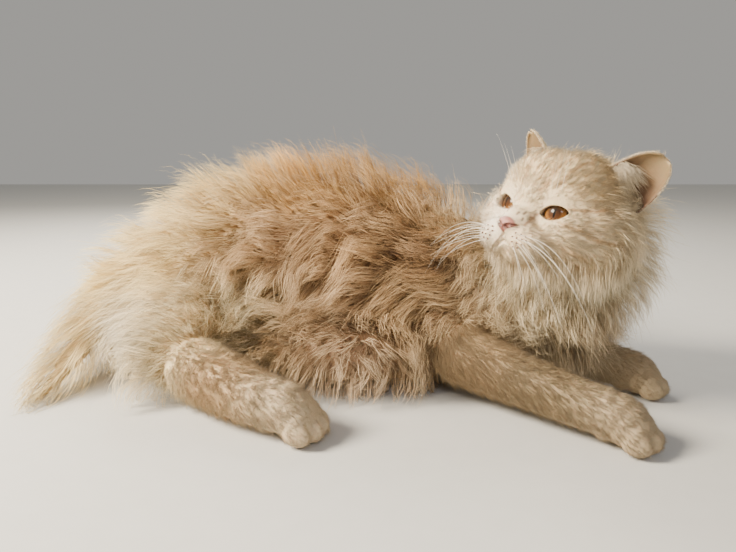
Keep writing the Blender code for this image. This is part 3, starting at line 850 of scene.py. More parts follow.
@dataclass
class Head:
    """The head, in its own frame between the eyes: it faces -Y, with the cat's left at +X."""

    centre: Vector = Vector((0.1672, -0.090, 0.1450))
    yaw: float = math.radians(54)
    pitch: float = math.radians(12)
    roll: float = math.radians(6.8)
    voxel: float = 0.0011
    eye_centre: Vector = Vector((0.0182, -0.0254, -0.0008))
    eye_radius: float = 0.0108
    toe_out: float = math.radians(16)
    lift: float = math.radians(3)
    lid_length: float = 0.0205
    lid_height: float = 0.0104
    lid_tilt: float = math.radians(12)
    lid_rim: float = 0.0011
    socket_gap: float = 0.0002
    socket_detail: int = 4
    cut_reach: float = 0.03
    nose_tip: Vector = Vector((0.0, -0.0570, -0.0120))
    laid: dict[str, list[list[Vector]]] = field(default_factory=dict)
    face: list[Ball] = field(
        default_factory=lambda: [
            (Vector((0.0, 0.008, 0.005)), Vector((0.043, 0.044, 0.042))),
            (Vector((0.010, -0.008, 0.008)), Vector((0.034, 0.032, 0.037))),
            (Vector((0.028, -0.002, -0.009)), Vector((0.0298, 0.0335, 0.0285))),
            (Vector((0.0235, -0.0155, -0.011)), Vector((0.0268, 0.0262, 0.0245))),
            (Vector((0.019, -0.0235, 0.009)), Vector((0.016, 0.0125, 0.011))),
            (Vector((0.0, -0.026, 0.004)), Vector((0.018, 0.0190, 0.024))),
            (Vector((0.0, -0.040, -0.010)), Vector((0.0130, 0.0130, 0.0105))),
            (Vector((0.0, -0.0496, -0.0148)), Vector((0.0102, 0.0080, 0.0074))),
            (Vector((0.0126, -0.0402, -0.0236)), Vector((0.0170, 0.0158, 0.0136))),
            (Vector((0.0, -0.0325, -0.0335)), Vector((0.0122, 0.0132, 0.0090))),
            (Vector((0.0, -0.014, -0.022)), Vector((0.034, 0.030, 0.020))),
        ]
    )
    nostril: list[Vector] = field(
        default_factory=lambda: [Vector((0.0026, -0.0580, -0.0158)), Vector((0.0052, -0.0570, -0.0148))]
    )
    wing: list[Vector] = field(
        default_factory=lambda: [Vector((0.0052, -0.0570, -0.0148)), Vector((0.0094, -0.0525, -0.0134))]
    )
    philtrum: list[Vector] = field(
        default_factory=lambda: [Vector((0.0, -0.0575, -0.0170)), Vector((0.0, -0.0560, -0.0265))]
    )
    mouth: list[Vector] = field(
        default_factory=lambda: [
            Vector((0.0, -0.0550, -0.0275)),
            Vector((0.0050, -0.0530, -0.0322)),
            Vector((0.0100, -0.0480, -0.0352)),
        ]
    )

    def matrix(self) -> Matrix:
        """Goes from the head's own frame to the cat's."""
        turn = Matrix.Rotation(-self.yaw, 4, "Z") @ Matrix.Rotation(-self.pitch, 4, "X")
        return Matrix.Translation(self.centre) @ turn @ Matrix.Rotation(self.roll, 4, "Y")

    def local(self, points: np.ndarray) -> np.ndarray:
        """Takes points from the cat's frame to the head's."""
        return moved(self.matrix().inverted(), points)

    def balls(self) -> list[Ball]:
        """Gives the head's ellipsoids in its own frame, both sides."""
        found = []
        for centre, half in self.face:
            found.append((centre, half))
            if centre.x:
                found.append((Vector((-centre.x, centre.y, centre.z)), half))
        return found

    def eye_matrix(self, side: Side) -> Matrix:
        """Gives the frame of one eye in the head's, with Z along its sight."""
        centre = Vector((side.value * self.eye_centre.x, self.eye_centre.y, self.eye_centre.z))
        look = Vector((side.value * math.sin(self.toe_out), -math.cos(self.toe_out), math.sin(self.lift)))
        look.normalize()
        across = Vector((0, 0, 1)).cross(look).normalized()
        turn = Matrix((across, look.cross(across), look)).transposed().to_4x4()
        return Matrix.Translation(centre) @ turn @ Matrix.Rotation(side.value * self.lid_tilt, 4, "Z")

    def almond(self, count: int, grow: float = 0.0) -> list[Vector]:
        """Gives the outline of an open eye, flat, with pointed ends.

        Args:
            count: How many points it has.
            grow: How far it stands outside the opening.

        Returns:
            The points.
        """
        points = []
        for i in range(count):
            angle = math.tau * i / count
            pinch = 1.0 - 0.35 * abs(math.cos(angle)) ** 3
            width = math.cos(angle) * (self.lid_length / 2 + grow)
            points.append(Vector((width, math.sin(angle) * pinch * (self.lid_height / 2 + grow), 0)))
        return points

    def lid_path(self, side: Side, grow: float, lift: float) -> list[Vector]:
        """Gives the edge of the lids over the eyeball, in the head's frame, as a closed path.

        Args:
            side: Which eye.
            grow: How far the path stands outside the opening.
            lift: How far it stands over the eyeball.

        Returns:
            The points, the first one again at the end.
        """
        path = []
        reach = self.eye_radius + lift
        for point in self.almond(36, grow):
            height = math.sqrt(max(0.0, reach**2 - point.x**2 - point.y**2))
            path.append(self.eye_matrix(side) @ Vector((point.x, point.y, height)))
        return path + path[:1]

    def fur_length(self, points: np.ndarray) -> np.ndarray:
        """Says how long the short fur is at points in the head's frame: least at the nose and the lids."""
        from_nose = np.linalg.norm(points - np.array(self.nose_tip), axis=1)
        gaps = (0.006, 0.016, 0.035, 0.060, 0.090)
        length = np.interp(from_nose, gaps, (0.0014, 0.0038, 0.0072, 0.0110, 0.015))
        crown = np.clip((points[:, 2] - 0.012) / 0.02, 0.0, 1.0)
        length = length * (1.0 - 0.35 * crown)
        length = length * (1.0 + 0.45 * np.clip((np.abs(points[:, 0]) - 0.034) / 0.012, 0.0, 1.0))
        for side in Side:
            gap = distance_to_path(points, self.lid_path(side, 0.001, 0.001))
            length = np.minimum(length, np.interp(gap, (0.0, 0.003, 0.014), (0.0009, 0.0028, 0.0090)))
        return length

    def lie(self, points: np.ndarray) -> np.ndarray:
        """Gives which way the head's fur lies: away from the nose, and back."""
        local = self.local(points)
        away = unit(local - np.array(self.nose_tip))
        back = away + np.array((0.0, 0.45, 0.0))
        low = np.clip((-0.02 - local[:, 2]) / 0.02, 0, 1)[:, None]
        back = back + low * np.array((0.0, 0.1, -0.6))
        return back @ np.array(self.matrix().to_3x3()).T

    def build(self) -> bpy.types.Object:
        """Builds the head's skin with lids, nose and mouth, and the sockets cut for the eyes."""
        head = blended("head", self.balls(), self.voxel, 26)
        places, normals = vertex_arrays(head.data)
        less = self.fur_length(places) * 0.22
        place_vertices(head.data, places - normals * less[:, None])
        refine(head, self.nose_tip + Vector((0, 0.004, -0.006)), 0.019)
        for side in Side:
            press(head, self.lid_path(side, self.lid_rim, self.lid_rim), self.lid_rim * 2.4, -self.lid_rim)
            refine(head, self.eye_matrix(side) @ Vector((0, 0, self.eye_radius)), 0.0125)
        for name, path in (("nostril", self.nostril), ("wing", self.wing), ("mouth", self.mouth)):
            self.laid[name] = []
            for side in Side:
                flip = Matrix.Scale(side.value, 4, Vector((1, 0, 0)))
                self.laid[name].append(laid_on(head, [flip @ point for point in path]))
        self.laid["philtrum"] = [laid_on(head, self.philtrum)]
        self.laid["lines"] = [laid_on(head, [Vector(place) for place in line.path]) for line in FACE_LINES]
        for name, width, depth in (
            ("wing", 0.0016, 0.0014),
            ("nostril", 0.0019, 0.0030),
            ("mouth", 0.0024, 0.0030),
            ("philtrum", 0.0014, 0.0014),
        ):
            for path in self.laid[name]:
                press(head, path, width, depth)
        cutters = []
        for side in Side:
            socket = self.ball("socket", side, self.eye_radius + self.socket_gap, self.socket_detail)
            cutters += [self.eye_opening(side), socket]
        combine(head, cutters, "DIFFERENCE")
        head.data.transform(self.matrix())
        return head

    def eye_opening(self, side: Side) -> bpy.types.Object:
        """Makes a cutter along the sight of one eye, as wide as the lids stand open.

        It starts as a drum and not as an extruded face, whose sides come in another order each time.
        """
        count = 40
        outline = self.almond(count)
        bm = bmesh.new()
        bmesh.ops.create_cone(bm, cap_ends=True, segments=count, radius1=1.0, radius2=1.0, depth=1.0)
        for vertex in bm.verts:
            turn = math.atan2(vertex.co.y, vertex.co.x) / math.tau
            spot = outline[round(turn * count) % count]
            vertex.co = Vector((spot.x, spot.y, self.cut_reach if vertex.co.z > 0 else 0.0))
        bmesh.ops.transform(bm, matrix=self.eye_matrix(side), verts=bm.verts)
        return object_of("opening", bm)

    def ball(self, name: str, side: Side, radius: float, detail: int) -> bpy.types.Object:
        """Makes a ball round an eye's centre, in the head's frame.

        A sphere of rings numbers its points in another order each time, and the hairs' roots are drawn by the
        order of the skin that it cuts. A sphere of triangles keeps its order.

        Args:
            name: The object's name.
            side: Which eye.
            radius: The ball's radius.
            detail: How many times its triangles are split.

        Returns:
            The ball.
        """
        bm = bmesh.new()
        bmesh.ops.create_icosphere(bm, subdivisions=detail, radius=radius)
        bmesh.ops.transform(bm, matrix=self.eye_matrix(side), verts=bm.verts)
        return object_of(name, bm)


@dataclass
class Ear:
    """One ear: a thin cup that opens outwards and forwards, in the head's frame as if it were the left one."""

    side: Side
    tip: Vector
    base: Vector = Vector((0.0340, 0.008, 0.0225))
    opens: Vector = Vector((0.50, -0.86, -0.16))
    half_width: float = 0.0196
    depth: float = 0.0125
    wall: float = 0.0017
    fullness: float = 0.40
    root: float = -0.35
    end: float = 0.985

    def frame(self) -> tuple[Vector, Vector, Vector]:
        """Gives the ear's reach from root to tip, the way it opens, and the way across it."""
        reach = self.tip - self.base
        axis = reach.normalized()
        opens = (self.opens - axis * self.opens.dot(axis)).normalized()
        return reach, opens, axis.cross(opens)

    def point(self, across: float, share: float) -> Vector:
        """Gives a point on the middle of the cup's wall, in the head's frame.

        Args:
            across: From -1 at one edge to 1 at the other.
            share: From 0 at the root to 1 at the tip.

        Returns:
            The point.
        """
        reach, opens, sideways = self.frame()
        width = self.half_width * math.cos(max(0.0, share) * math.pi / 2) ** self.fullness
        bend = across * math.pi * 0.5
        cup = -self.depth * math.cos(bend) * (1.0 - 0.75 * max(0.0, share))
        spot = self.base + reach * share + sideways * (width * math.sin(bend)) + opens * cup
        return Vector((self.side.value * spot.x, spot.y, spot.z))

    def build(self, head: Head) -> bpy.types.Object:
        """Builds the cup as a closed thin wall, in the cat's frame."""
        bm = bmesh.new()
        bmesh.ops.create_grid(bm, x_segments=32, y_segments=28, size=1.0)
        for vertex in bm.verts:
            rise = ((vertex.co.y + 1) / 2) ** 0.85
            vertex.co = self.point(vertex.co.x, self.root + (self.end - self.root) * rise)
        bmesh.ops.transform(bm, matrix=head.matrix(), verts=bm.verts)
        ear = object_of("ear", bm)
        wall = ear.modifiers.new("Solidify", "SOLIDIFY")
        wall.thickness = self.wall
        wall.offset = 0.0
        smooth = ear.modifiers.new("Smooth", "SMOOTH")
        smooth.factor = 0.4
        smooth.iterations = 2
        apply_modifiers(ear)
        bm = bmesh.new()
        bm.from_mesh(ear.data)
        bmesh.ops.recalc_face_normals(bm, faces=bm.faces)
        bm.to_mesh(ear.data)
        bm.free()
        return ear


# The coat's colours and how it lies


@dataclass(frozen=True)
class Patch:
    """The coat's colour about a place: near the skin and at the hair's tip, and how far it holds. The darker colour
    near the skin is partly the hair's own base and partly painted shade deep in the coat; the paler tip is partly
    painted highlight on the tips.
    """

    place: tuple[float, float, float]
    low: str
    tip: str
    size: float = 1.0


@dataclass(frozen=True)
class Stroke:
    """How the long coat lies about a place: which way, how long, how far it stands off, how wavy, how clumped."""

    place: tuple[float, float, float]
    lie: tuple[float, float, float]
    length: float
    depth: float
    wave: float = 0.3
    clump: float = 0.45


def shares(points: np.ndarray, places: np.ndarray, sizes: np.ndarray, soft: float) -> np.ndarray:
    """Finds how much each place counts at each point, nearer ones most.

    Args:
        points: The points.
        places: The places that are blended.
        sizes: How far each place counts against the others.
        soft: The distance under which nearness makes no more difference.

    Returns:
        A row of shares for each point, which add up to one.
    """
    gap = ((points[:, None, :] - places[None, :, :]) ** 2).sum(-1)
    weight = sizes**4 / (gap + soft**2) ** 2
    return weight / weight.sum(1, keepdims=True)


@dataclass(frozen=True)
class Line:
    """A marking along a path in the head's frame: its colour, half its width, and how strongly it shows."""

    path: tuple[tuple[float, float, float], ...]
    colour: str
    width: float
    strength: float


class Markings:
    """The coat's colours over the whole cat, for the skin and the hair alike."""

    face_reach = 0.085

    def __init__(self, patches: list[Patch], lines: list[Line], head: Head, soft: float = 0.010) -> None:
        self.lines = lines
        self.head = head
        self.places = np.array([patch.place for patch in patches])
        self.sizes = np.array([patch.size for patch in patches])
        self.low = np.array([linear(patch.low) for patch in patches])
        self.tip = np.array([linear(patch.tip) for patch in patches])
        self.soft = soft

    def at(self, points: np.ndarray) -> tuple[np.ndarray, np.ndarray]:
        """Gives the colours near the skin and at the tips, at points."""
        low, tip = [], []
        for part in np.array_split(points, max(1, len(points) // 20000)):
            share = shares(part, self.places, self.sizes, self.soft)
            low.append(share @ self.low)
            tip.append(share @ self.tip)
        low, tip = np.concatenate(low), np.concatenate(tip)
        local = self.head.local(points)
        near = np.flatnonzero(np.linalg.norm(local, axis=1) < self.face_reach)
        for line, path in zip(self.lines, self.head.laid["lines"]):
            gap = distance_to_path(local[near], path)
            held = (line.strength * np.exp(-((gap / line.width) ** 2)))[:, None]
            colour = np.array(linear(line.colour))
            low[near] = low[near] * (1 - held) + colour * held
            tip[near] = tip[near] * (1 - held) + colour * held
        return low, tip


class Combing:
    """How the long coat lies over the body, blended between strokes."""

    def __init__(self, strokes: list[Stroke], soft: float = 0.008) -> None:
        self.places = np.array([stroke.place for stroke in strokes])
        self.lies = unit(np.array([stroke.lie for stroke in strokes]))
        self.sizes = np.ones(len(strokes))
        self.cut = np.array([(stroke.length, stroke.depth, stroke.wave, stroke.clump) for stroke in strokes])
        self.soft = soft

    def lie(self, points: np.ndarray) -> np.ndarray:
        """Gives which way the coat lies at points."""
        return shares(points, self.places, self.sizes, self.soft) @ self.lies

    def measures(self, points: np.ndarray) -> np.ndarray:
        """Gives the coat's length, depth, wave and clumping at points, a row each."""
        return shares(points, self.places, self.sizes, self.soft) @ self.cut


# Hair


class Surface:
    """A closed mesh that hair is rooted in and combed over, with the part of the body of each triangle."""

    def __init__(self, obj: bpy.types.Object, part_at: Field) -> None:
        mesh = obj.data
        mesh.calc_loop_triangles()
        self.places, self.normals = vertex_arrays(mesh)
        corners = np.empty(len(mesh.loop_triangles) * 3, dtype=np.int64)
        mesh.loop_triangles.foreach_get("vertices", corners)
        self.triangles = corners.reshape(-1, 3)
        self.tree = BVHTree.FromPolygons(self.places.tolist(), self.triangles.tolist())
        self.parts = part_at(self.places[self.triangles].mean(1))

    def nearest(self, points: np.ndarray) -> tuple[np.ndarray, np.ndarray]:
        """Finds the nearest spots on the surface to points, and the normals there."""
        spots = np.empty_like(points)
        normals = np.empty_like(points)
        for i, point in enumerate(points.tolist()):
            spot, normal, _, _ = self.tree.find_nearest(point)
            spots[i] = spot
            normals[i] = normal
        return spots, normals

    def scatter(self, part: int, density: Zone, draw: np.random.Generator) -> tuple[np.ndarray, np.ndarray]:
        """Scatters roots over one part of the body.

        Args:
            part: The part's number.
            density: Says how many roots a square metre holds, at points with normals.
            draw: Where the random numbers come from.

        Returns:
            The roots and the normals there.
        """
        mine = self.triangles[self.parts == part]
        corners, turns = self.places[mine], self.normals[mine]
        across = np.cross(corners[:, 1] - corners[:, 0], corners[:, 2] - corners[:, 0])
        area = np.linalg.norm(across, axis=1) / 2
        wanted = area * density(corners.mean(1), unit(turns.mean(1)))
        counts = np.floor(wanted + draw.random(len(area))).astype(int)
        which = np.repeat(np.arange(len(area)), counts)
        a, b = draw.random((2, len(which), 1))
        over = (a + b) > 1
        a, b = np.where(over, 1 - a, a), np.where(over, 1 - b, b)
        corners, turns = corners[which], turns[which]
        points = corners[:, 0] * (1 - a - b) + corners[:, 1] * a + corners[:, 2] * b
        normals = unit(turns[:, 0] * (1 - a - b) + turns[:, 1] * a + turns[:, 2] * b)
        return points, normals


def spaced(points: np.ndarray, spacing: float) -> np.ndarray:
    """Picks points that stand at least so far apart, and returns their numbers."""
    cells: dict[tuple[int, int, int], list[tuple[float, float, float]]] = {}
    kept = []
    near = [(i, j, k) for i in (-1, 0, 1) for j in (-1, 0, 1) for k in (-1, 0, 1)]
    for number, (x, y, z) in enumerate(points.tolist()):
        cell = (int(x // spacing), int(y // spacing), int(z // spacing))
        free = True
        for i, j, k in near:
            for other in cells.get((cell[0] + i, cell[1] + j, cell[2] + k), ()):
                if (x - other[0]) ** 2 + (y - other[1]) ** 2 + (z - other[2]) ** 2 < spacing**2:
                    free = False
                    break
            if not free:
                break
        if free:
            cells.setdefault(cell, []).append((x, y, z))
            kept.append(number)
    return np.array(kept, dtype=int)


@dataclass
class Hairs:
    """Hairs before they are made a mesh: places and ups at each ring and the tip, widths, colours and roots."""

    spine: np.ndarray
    up: np.ndarray
    width: np.ndarray
    colour: np.ndarray
    root: np.ndarray

    def pick(self, chosen: np.ndarray) -> "Hairs":
        """Gives some of the hairs."""
        return Hairs(
            self.spine[chosen], self.up[chosen], self.width[chosen], self.colour[chosen], self.root[chosen]
        )


@dataclass(frozen=True)
class Blade:
    """The form of a hair: closed, three-sided and tapered, with a ring at shares of its length."""

    rings: tuple[float, ...]
    widths: tuple[float, ...]
    flatness: float = 0.45
    patch: float = 0.003

    def triangles(self) -> int:
        """Counts the triangles of one hair."""
        return 6 * (len(self.rings) - 1) + 4

    def faces(self) -> np.ndarray:
        """Gives the corners of one hair's triangles, all pointing outwards."""
        last = 3 * (len(self.rings) - 1)
        found = [(0, 2, 1)]
        for ring in range(len(self.rings) - 1):
            low, high = 3 * ring, 3 * ring + 3
            for i in range(3):
                j = (i + 1) % 3
                found += [(low + i, low + j, high + j), (low + i, high + j, high + i)]
        found += [(last + i, last + (i + 1) % 3, last + 3) for i in range(3)]
        return np.array(found)

    def mesh(self, name: str, hairs: Hairs, chart: Field) -> bpy.types.Object:
        """Makes one joined mesh of hairs.

        Args:
            name: The object's name.
            hairs: The hairs.
            chart: Unwraps roots to places in the unit square.

        Returns:
            The object, with its colours and its map.
        """
        count, rings = len(hairs.spine), len(self.rings)
        ahead = np.gradient(hairs.spine, axis=1)[:, :rings]
        ahead = unit(ahead)
        across = unit(np.cross(hairs.up[:, :rings], ahead))
        top = np.cross(ahead, across)
        width = (hairs.width[:, None] * np.array(self.widths))[..., None]
        middle = hairs.spine[:, :rings]
        corners = np.stack(
            (middle + across * width / 2, middle + top * width * self.flatness, middle - across * width / 2), axis=2
        )
        places = np.concatenate((corners.reshape(count, rings * 3, 3), hairs.spine[:, rings:]), axis=1)
        size = rings * 3 + 1
        faces = (self.faces()[None] + (np.arange(count) * size)[:, None, None]).reshape(-1, 3)
        mesh = bpy.data.meshes.new(name)
        mesh.vertices.add(count * size)
        mesh.vertices.foreach_set("co", places.astype(np.float32).ravel())
        mesh.loops.add(faces.size)
        mesh.loops.foreach_set("vertex_index", faces.astype(np.int32).ravel())
        mesh.polygons.add(len(faces))
        mesh.polygons.foreach_set("loop_start", np.arange(0, faces.size, 3, dtype=np.int32))
        mesh.update(calc_edges=True)
        self.paint(mesh, hairs)
        self.unwrap(mesh, hairs, chart, faces, size)
        return link_new(name, mesh)

    def paint(self, mesh: bpy.types.Mesh, hairs: Hairs) -> None:
        """Stores the hairs' colours on their mesh."""
        rings = len(self.rings)
        sides = np.repeat(hairs.colour[:, :rings], 3, axis=1)
        colour = np.concatenate((sides, hairs.colour[:, rings:]), axis=1)
        colour = np.concatenate((colour, np.ones((*colour.shape[:2], 1))), axis=2)
        layer = mesh.color_attributes.new("Hair", "FLOAT_COLOR", "POINT")
        layer.data.foreach_set("color", colour.astype(np.float32).ravel())

    def unwrap(self, mesh: bpy.types.Mesh, hairs: Hairs, chart: Field, faces: np.ndarray, size: int) -> None:
        """Maps each hair to a small patch at its root's place on an unwrap of the skin."""
        rings = len(self.rings)
        sides = np.tile((0.5, 0.0, -0.5), rings)
        rises = np.repeat(np.array(self.rings) - 0.5, 3)
        offset = np.stack((np.append(sides, 0.0), np.append(rises, 0.5)), axis=1) * self.patch
        flat = (chart(hairs.root)[:, None, :] + offset[None]).reshape(-1, 2)
        layer = mesh.uv_layers.new(name="OFBake")
        layer.uv.foreach_set("vector", flat[faces.ravel()].astype(np.float32).ravel())


MIDDLING = Blade(rings=(0.0, 0.42, 0.76), widths=(0.7, 1.0, 0.6))
SHORT = Blade(rings=(0.0, 0.55), widths=(0.8, 0.9))
SPIKE = Blade(rings=(0.0,), widths=(1.0,))


def round_chart(start: Vector, end: Vector) -> Field:
    """Makes an unwrap of the skin round an axis: the turn about it, and how far along.

    Args:
        start: Where the axis starts.
        end: Where it ends.

    Returns:
        What takes roots to the unit square, filled from edge to edge.
    """
    axis = (end - start).normalized()
    side = axis.orthogonal().normalized()
    third = axis.cross(side)

    def chart(roots: np.ndarray) -> np.ndarray:
        """Takes roots to the unit square."""
        away = roots - np.array(start)
        turn = np.arctan2(away @ np.array(third), away @ np.array(side))
        gap = np.sort(turn)
        jump = int(np.argmax(np.diff(gap))) if len(gap) > 1 else 0
        cut = (gap[jump] + gap[min(jump + 1, len(gap) - 1)]) / 2
        if gap[min(jump + 1, len(gap) - 1)] - gap[jump] < math.tau - (gap[-1] - gap[0]):
            cut = math.pi
        flat = np.stack(((turn - cut) % math.tau, away @ np.array(axis)), axis=1)
        low, high = flat.min(0), flat.max(0)
        return 0.01 + 0.98 * (flat - low) / np.maximum(high - low, 1e-6)

    return chart


@dataclass(frozen=True)
class LongCut:
    """How a long coat is grown: the distances between locks and tufts, and its disorder."""

    lock_spacing: float = 0.017
    tuft_spacing: float = 0.0045
    steps: int = 8
    stray: float = math.radians(20)
    curl: float = math.radians(26)
    sink: float = 0.0020
    floor_clear: float = 0.0012
    pale: str = "#f0e0c4"
    fluff: float = 1.1
    dense: float = 1.0
    thick: float = 1.0


@dataclass(frozen=True)
class Layer:
    """One layer of hairs on the tufts: how many, the shares of the tuft they start and end at, and their form."""

    hairs: float
    start: tuple[float, float]
    end: tuple[float, float]
    width: float
    spread: float
    gather: float
    loose: float
    wild: float
    # A factor on the layer's colour: above 1 as painted sheen, below 1 as painted shade deep in the coat
    gloss: float


# The undercoat is painted darker as shade deep in the coat, and the guard hairs a little brighter as painted sheen
UNDERCOAT = Layer(4.5, (0.0, 0.0), (0.50, 0.85), 0.00050, 0.95, 0.30, 0.0034, 0.05, 0.86)
GUARD = Layer(6.3, (0.18, 0.42), (0.78, 1.06), 0.00036, 0.90, 0.42, 0.0034, 0.12, 1.05)


@dataclass
class Guides:
    """Lines that tufts follow: their places and ups step by step, their roots, and the lock of each."""

    spine: np.ndarray
    up: np.ndarray
    root: np.ndarray
    # Each tuft's brightness: random tone, and painted shade towards the edge of its lock
    shade: np.ndarray
    clump: np.ndarray
    low: np.ndarray
    tip: np.ndarray


class LongCoat:
    """The long coat of the body: locks of tufts of hairs, combed over the skin by strokes."""

    def __init__(
        self, surface: Surface, part: int, here: Zone, combing: Combing, markings: Markings, cut: LongCut, seed: int
    ) -> None:
        self.surface = surface
        self.part = part
        self.here = here
        self.combing = combing
        self.markings = markings
        self.cut = cut
        self.draw = np.random.default_rng(seed)

    def roots(self, spacing: float) -> tuple[np.ndarray, np.ndarray]:
        """Picks roots so far apart where the coat grows, and gives their normals."""
        points, normals = self.surface.scatter(
            self.part, lambda spots, ups: self.here(spots, ups) * 5.0 / spacing**2, self.draw
        )
        order = self.draw.permutation(len(points))
        points, normals = points[order], normals[order]
        kept = spaced(points, spacing)
        kept = kept[self.draw.random(len(kept)) < self.here(points[kept], normals[kept])]
        return points[kept], normals[kept]

    def comb(
        self, roots: np.ndarray, normals: np.ndarray, ways: dict[str, np.ndarray]
    ) -> tuple[np.ndarray, np.ndarray]:
        """Walks each guide from its root along the lie of the coat.

        Args:
            roots: Where the guides start.
            normals: The skin's normals there.
            ways: For each guide, how far it turns, curls and waves, its phase, and its length and depth.

        Returns:
            The places and the ups of each guide, step by step.
        """
        cut = self.cut
        length, depth, wave, _ = self.combing.measures(roots).T
        length = length * ways["length"]
        depth = depth * ways["depth"]
        step = (length / cut.steps)[:, None]
        place, up = roots.copy(), normals.copy()
        heading = unit(normals * 0.7 + along(normals, self.combing.lie(roots)) * 0.7)
        spine, ups = [roots - normals * cut.sink], [normals]
        for i in range(1, cut.steps + 1):
            share = i / cut.steps
            spots, onto = self.surface.nearest(place)
            up = unit(up * 0.5 + onto * 0.5)
            turn = ways["turn"] + ways["curl"] * share
            turn = turn + wave * np.sin(length / 0.030 * share * math.pi + ways["phase"])
            flat = turned(along(up, self.combing.lie(spots)), up, turn)
            goal = depth * (1.0 - (1.0 - share) ** 1.8)
            height = ((place - spots) * up).sum(1)
            rise = np.clip((goal - height) / step[:, 0], -0.5, 0.93)[:, None]
            under = np.clip(-up[:, 2:] * 2.0 - 0.4, 0.0, 1.0)
            want = flat * np.sqrt(1.0 - rise**2) + up * rise
            want = want * (1.0 - under) + np.array((0.0, 0.0, -1.0)) * under
            heading = unit(heading * 0.35 + unit(want) * 0.65)
            place = place + heading * step
            place[:, 2] = np.maximum(place[:, 2], cut.floor_clear + 0.002 * ways["lay"])
            spine.append(place)
            ups.append(up)
        return np.stack(spine, axis=1), np.stack(ups, axis=1)

    def guides(self) -> Guides:
        """Grows the locks, then the tufts, each drawn to its lock."""
        cut, draw = self.cut, self.draw
        lock_roots, lock_normals = self.roots(cut.lock_spacing)
        count = len(lock_roots)
        _, _, wave, clump = self.combing.measures(lock_roots).T
        wild = 0.5 + 1.6 * wave
        ways = {
            "turn": draw.uniform(-cut.stray, cut.stray, count) * wild,
            "curl": draw.uniform(-cut.curl, cut.curl, count) * wild,
            "phase": draw.uniform(0, math.tau, count),
            "length": draw.uniform(0.85, 1.12, count),
            "depth": draw.uniform(0.80, 1.15, count),
            "lay": draw.random(count),
        }
        lock_spine, _ = self.comb(lock_roots, lock_normals, ways)
        lock_shade = draw.uniform(0.84, 1.12, count)
        roots, normals = self.roots(cut.tuft_spacing)
        gap = ((roots[:, None, :] - lock_roots[None]) ** 2).sum(-1)
        lock = gap.argmin(1)
        number = len(roots)
        own = {
            "turn": ways["turn"][lock] + draw.normal(0, math.radians(7), number),
            "curl": ways["curl"][lock] + draw.normal(0, math.radians(8), number),
            "phase": ways["phase"][lock] + draw.normal(0, 0.5, number),
            "length": ways["length"][lock] * draw.uniform(0.82, 1.10, number),
            "depth": ways["depth"][lock] * draw.uniform(0.70, 1.12, number),
            "lay": draw.random(number),
        }
        spine, up = self.comb(roots, normals, own)
        share = np.linspace(0.0, 1.0, cut.steps + 1)[None, :, None]
        pull = clump[lock][:, None, None] * draw.uniform(0.7, 1.3, (number, 1, 1)) * share**1.3
        spine = spine + (lock_spine[lock] - spine) * pull
        spine[:, :, 2] = np.maximum(spine[:, :, 2], cut.floor_clear)
        spine[:, 0] = roots - normals * cut.sink
        # Painted shade: tufts towards the edge of their lock are painted darker, more so in clumped locks, as shade
        # in the partings between locks; the factors per lock and per tuft are random tone
        edge = np.clip(np.sqrt(gap[np.arange(number), lock]) / (0.7 * cut.lock_spacing), 0.0, 1.0)
        shade = lock_shade[lock] * draw.uniform(0.95, 1.05, number) * (1.05 - 0.36 * clump[lock] * edge**2)
        LOG.info("%d locks, %d tufts", count, number)
        low, _ = self.markings.at(roots)
        _, tip = self.markings.at(spine[:, -2])
        pale = (0.45 * wave * draw.random(count) ** 2)[lock][:, None]
        tip = tip * (1.0 - pale) + np.array(linear(cut.pale)) * pale
        return Guides(spine, up, roots, shade, clump[lock], low, tip)

    def hairs(self, guides: Guides, layer: Layer, blade: Blade) -> Hairs:
        """Grows one layer of hairs on every tuft.

        Args:
            guides: The tufts' lines.
            layer: What the hairs are like.
            blade: The form of a hair.

        Returns:
            The hairs.
        """
        cut, draw = self.cut, self.draw
        spacing = cut.tuft_spacing
        counts = np.floor(layer.hairs * cut.dense + draw.random(len(guides.root))).astype(int)
        which = np.repeat(np.arange(len(guides.root)), counts)
        count = len(which)
        radius = spacing * layer.spread * np.sqrt(draw.random(count))
        angle = draw.uniform(0, math.tau, count)
        sideways, forward = (radius * np.cos(angle))[:, None], (radius * np.sin(angle))[:, None]
        clump = guides.clump[which]
        gather = layer.gather * (0.3 + 1.4 * clump)
        loose = layer.loose * cut.fluff * (1.7 - 1.4 * clump)
        lift = (draw.normal(0, 0.5, count) * loose)[:, None]
        wild = draw.random(count) < layer.wild
        drift = unit(draw.normal(0, 1, (count, 3))) * (loose * np.where(wild, 2.2, 0.75))[:, None]
        start = draw.uniform(*layer.start, count)
        end = draw.uniform(*layer.end, count) + np.where(wild, 0.04, 0.0)
        ahead0 = unit(guides.spine[which, 2] - guides.spine[which, 0])
        low, tip = guides.low[which], guides.tip[which]
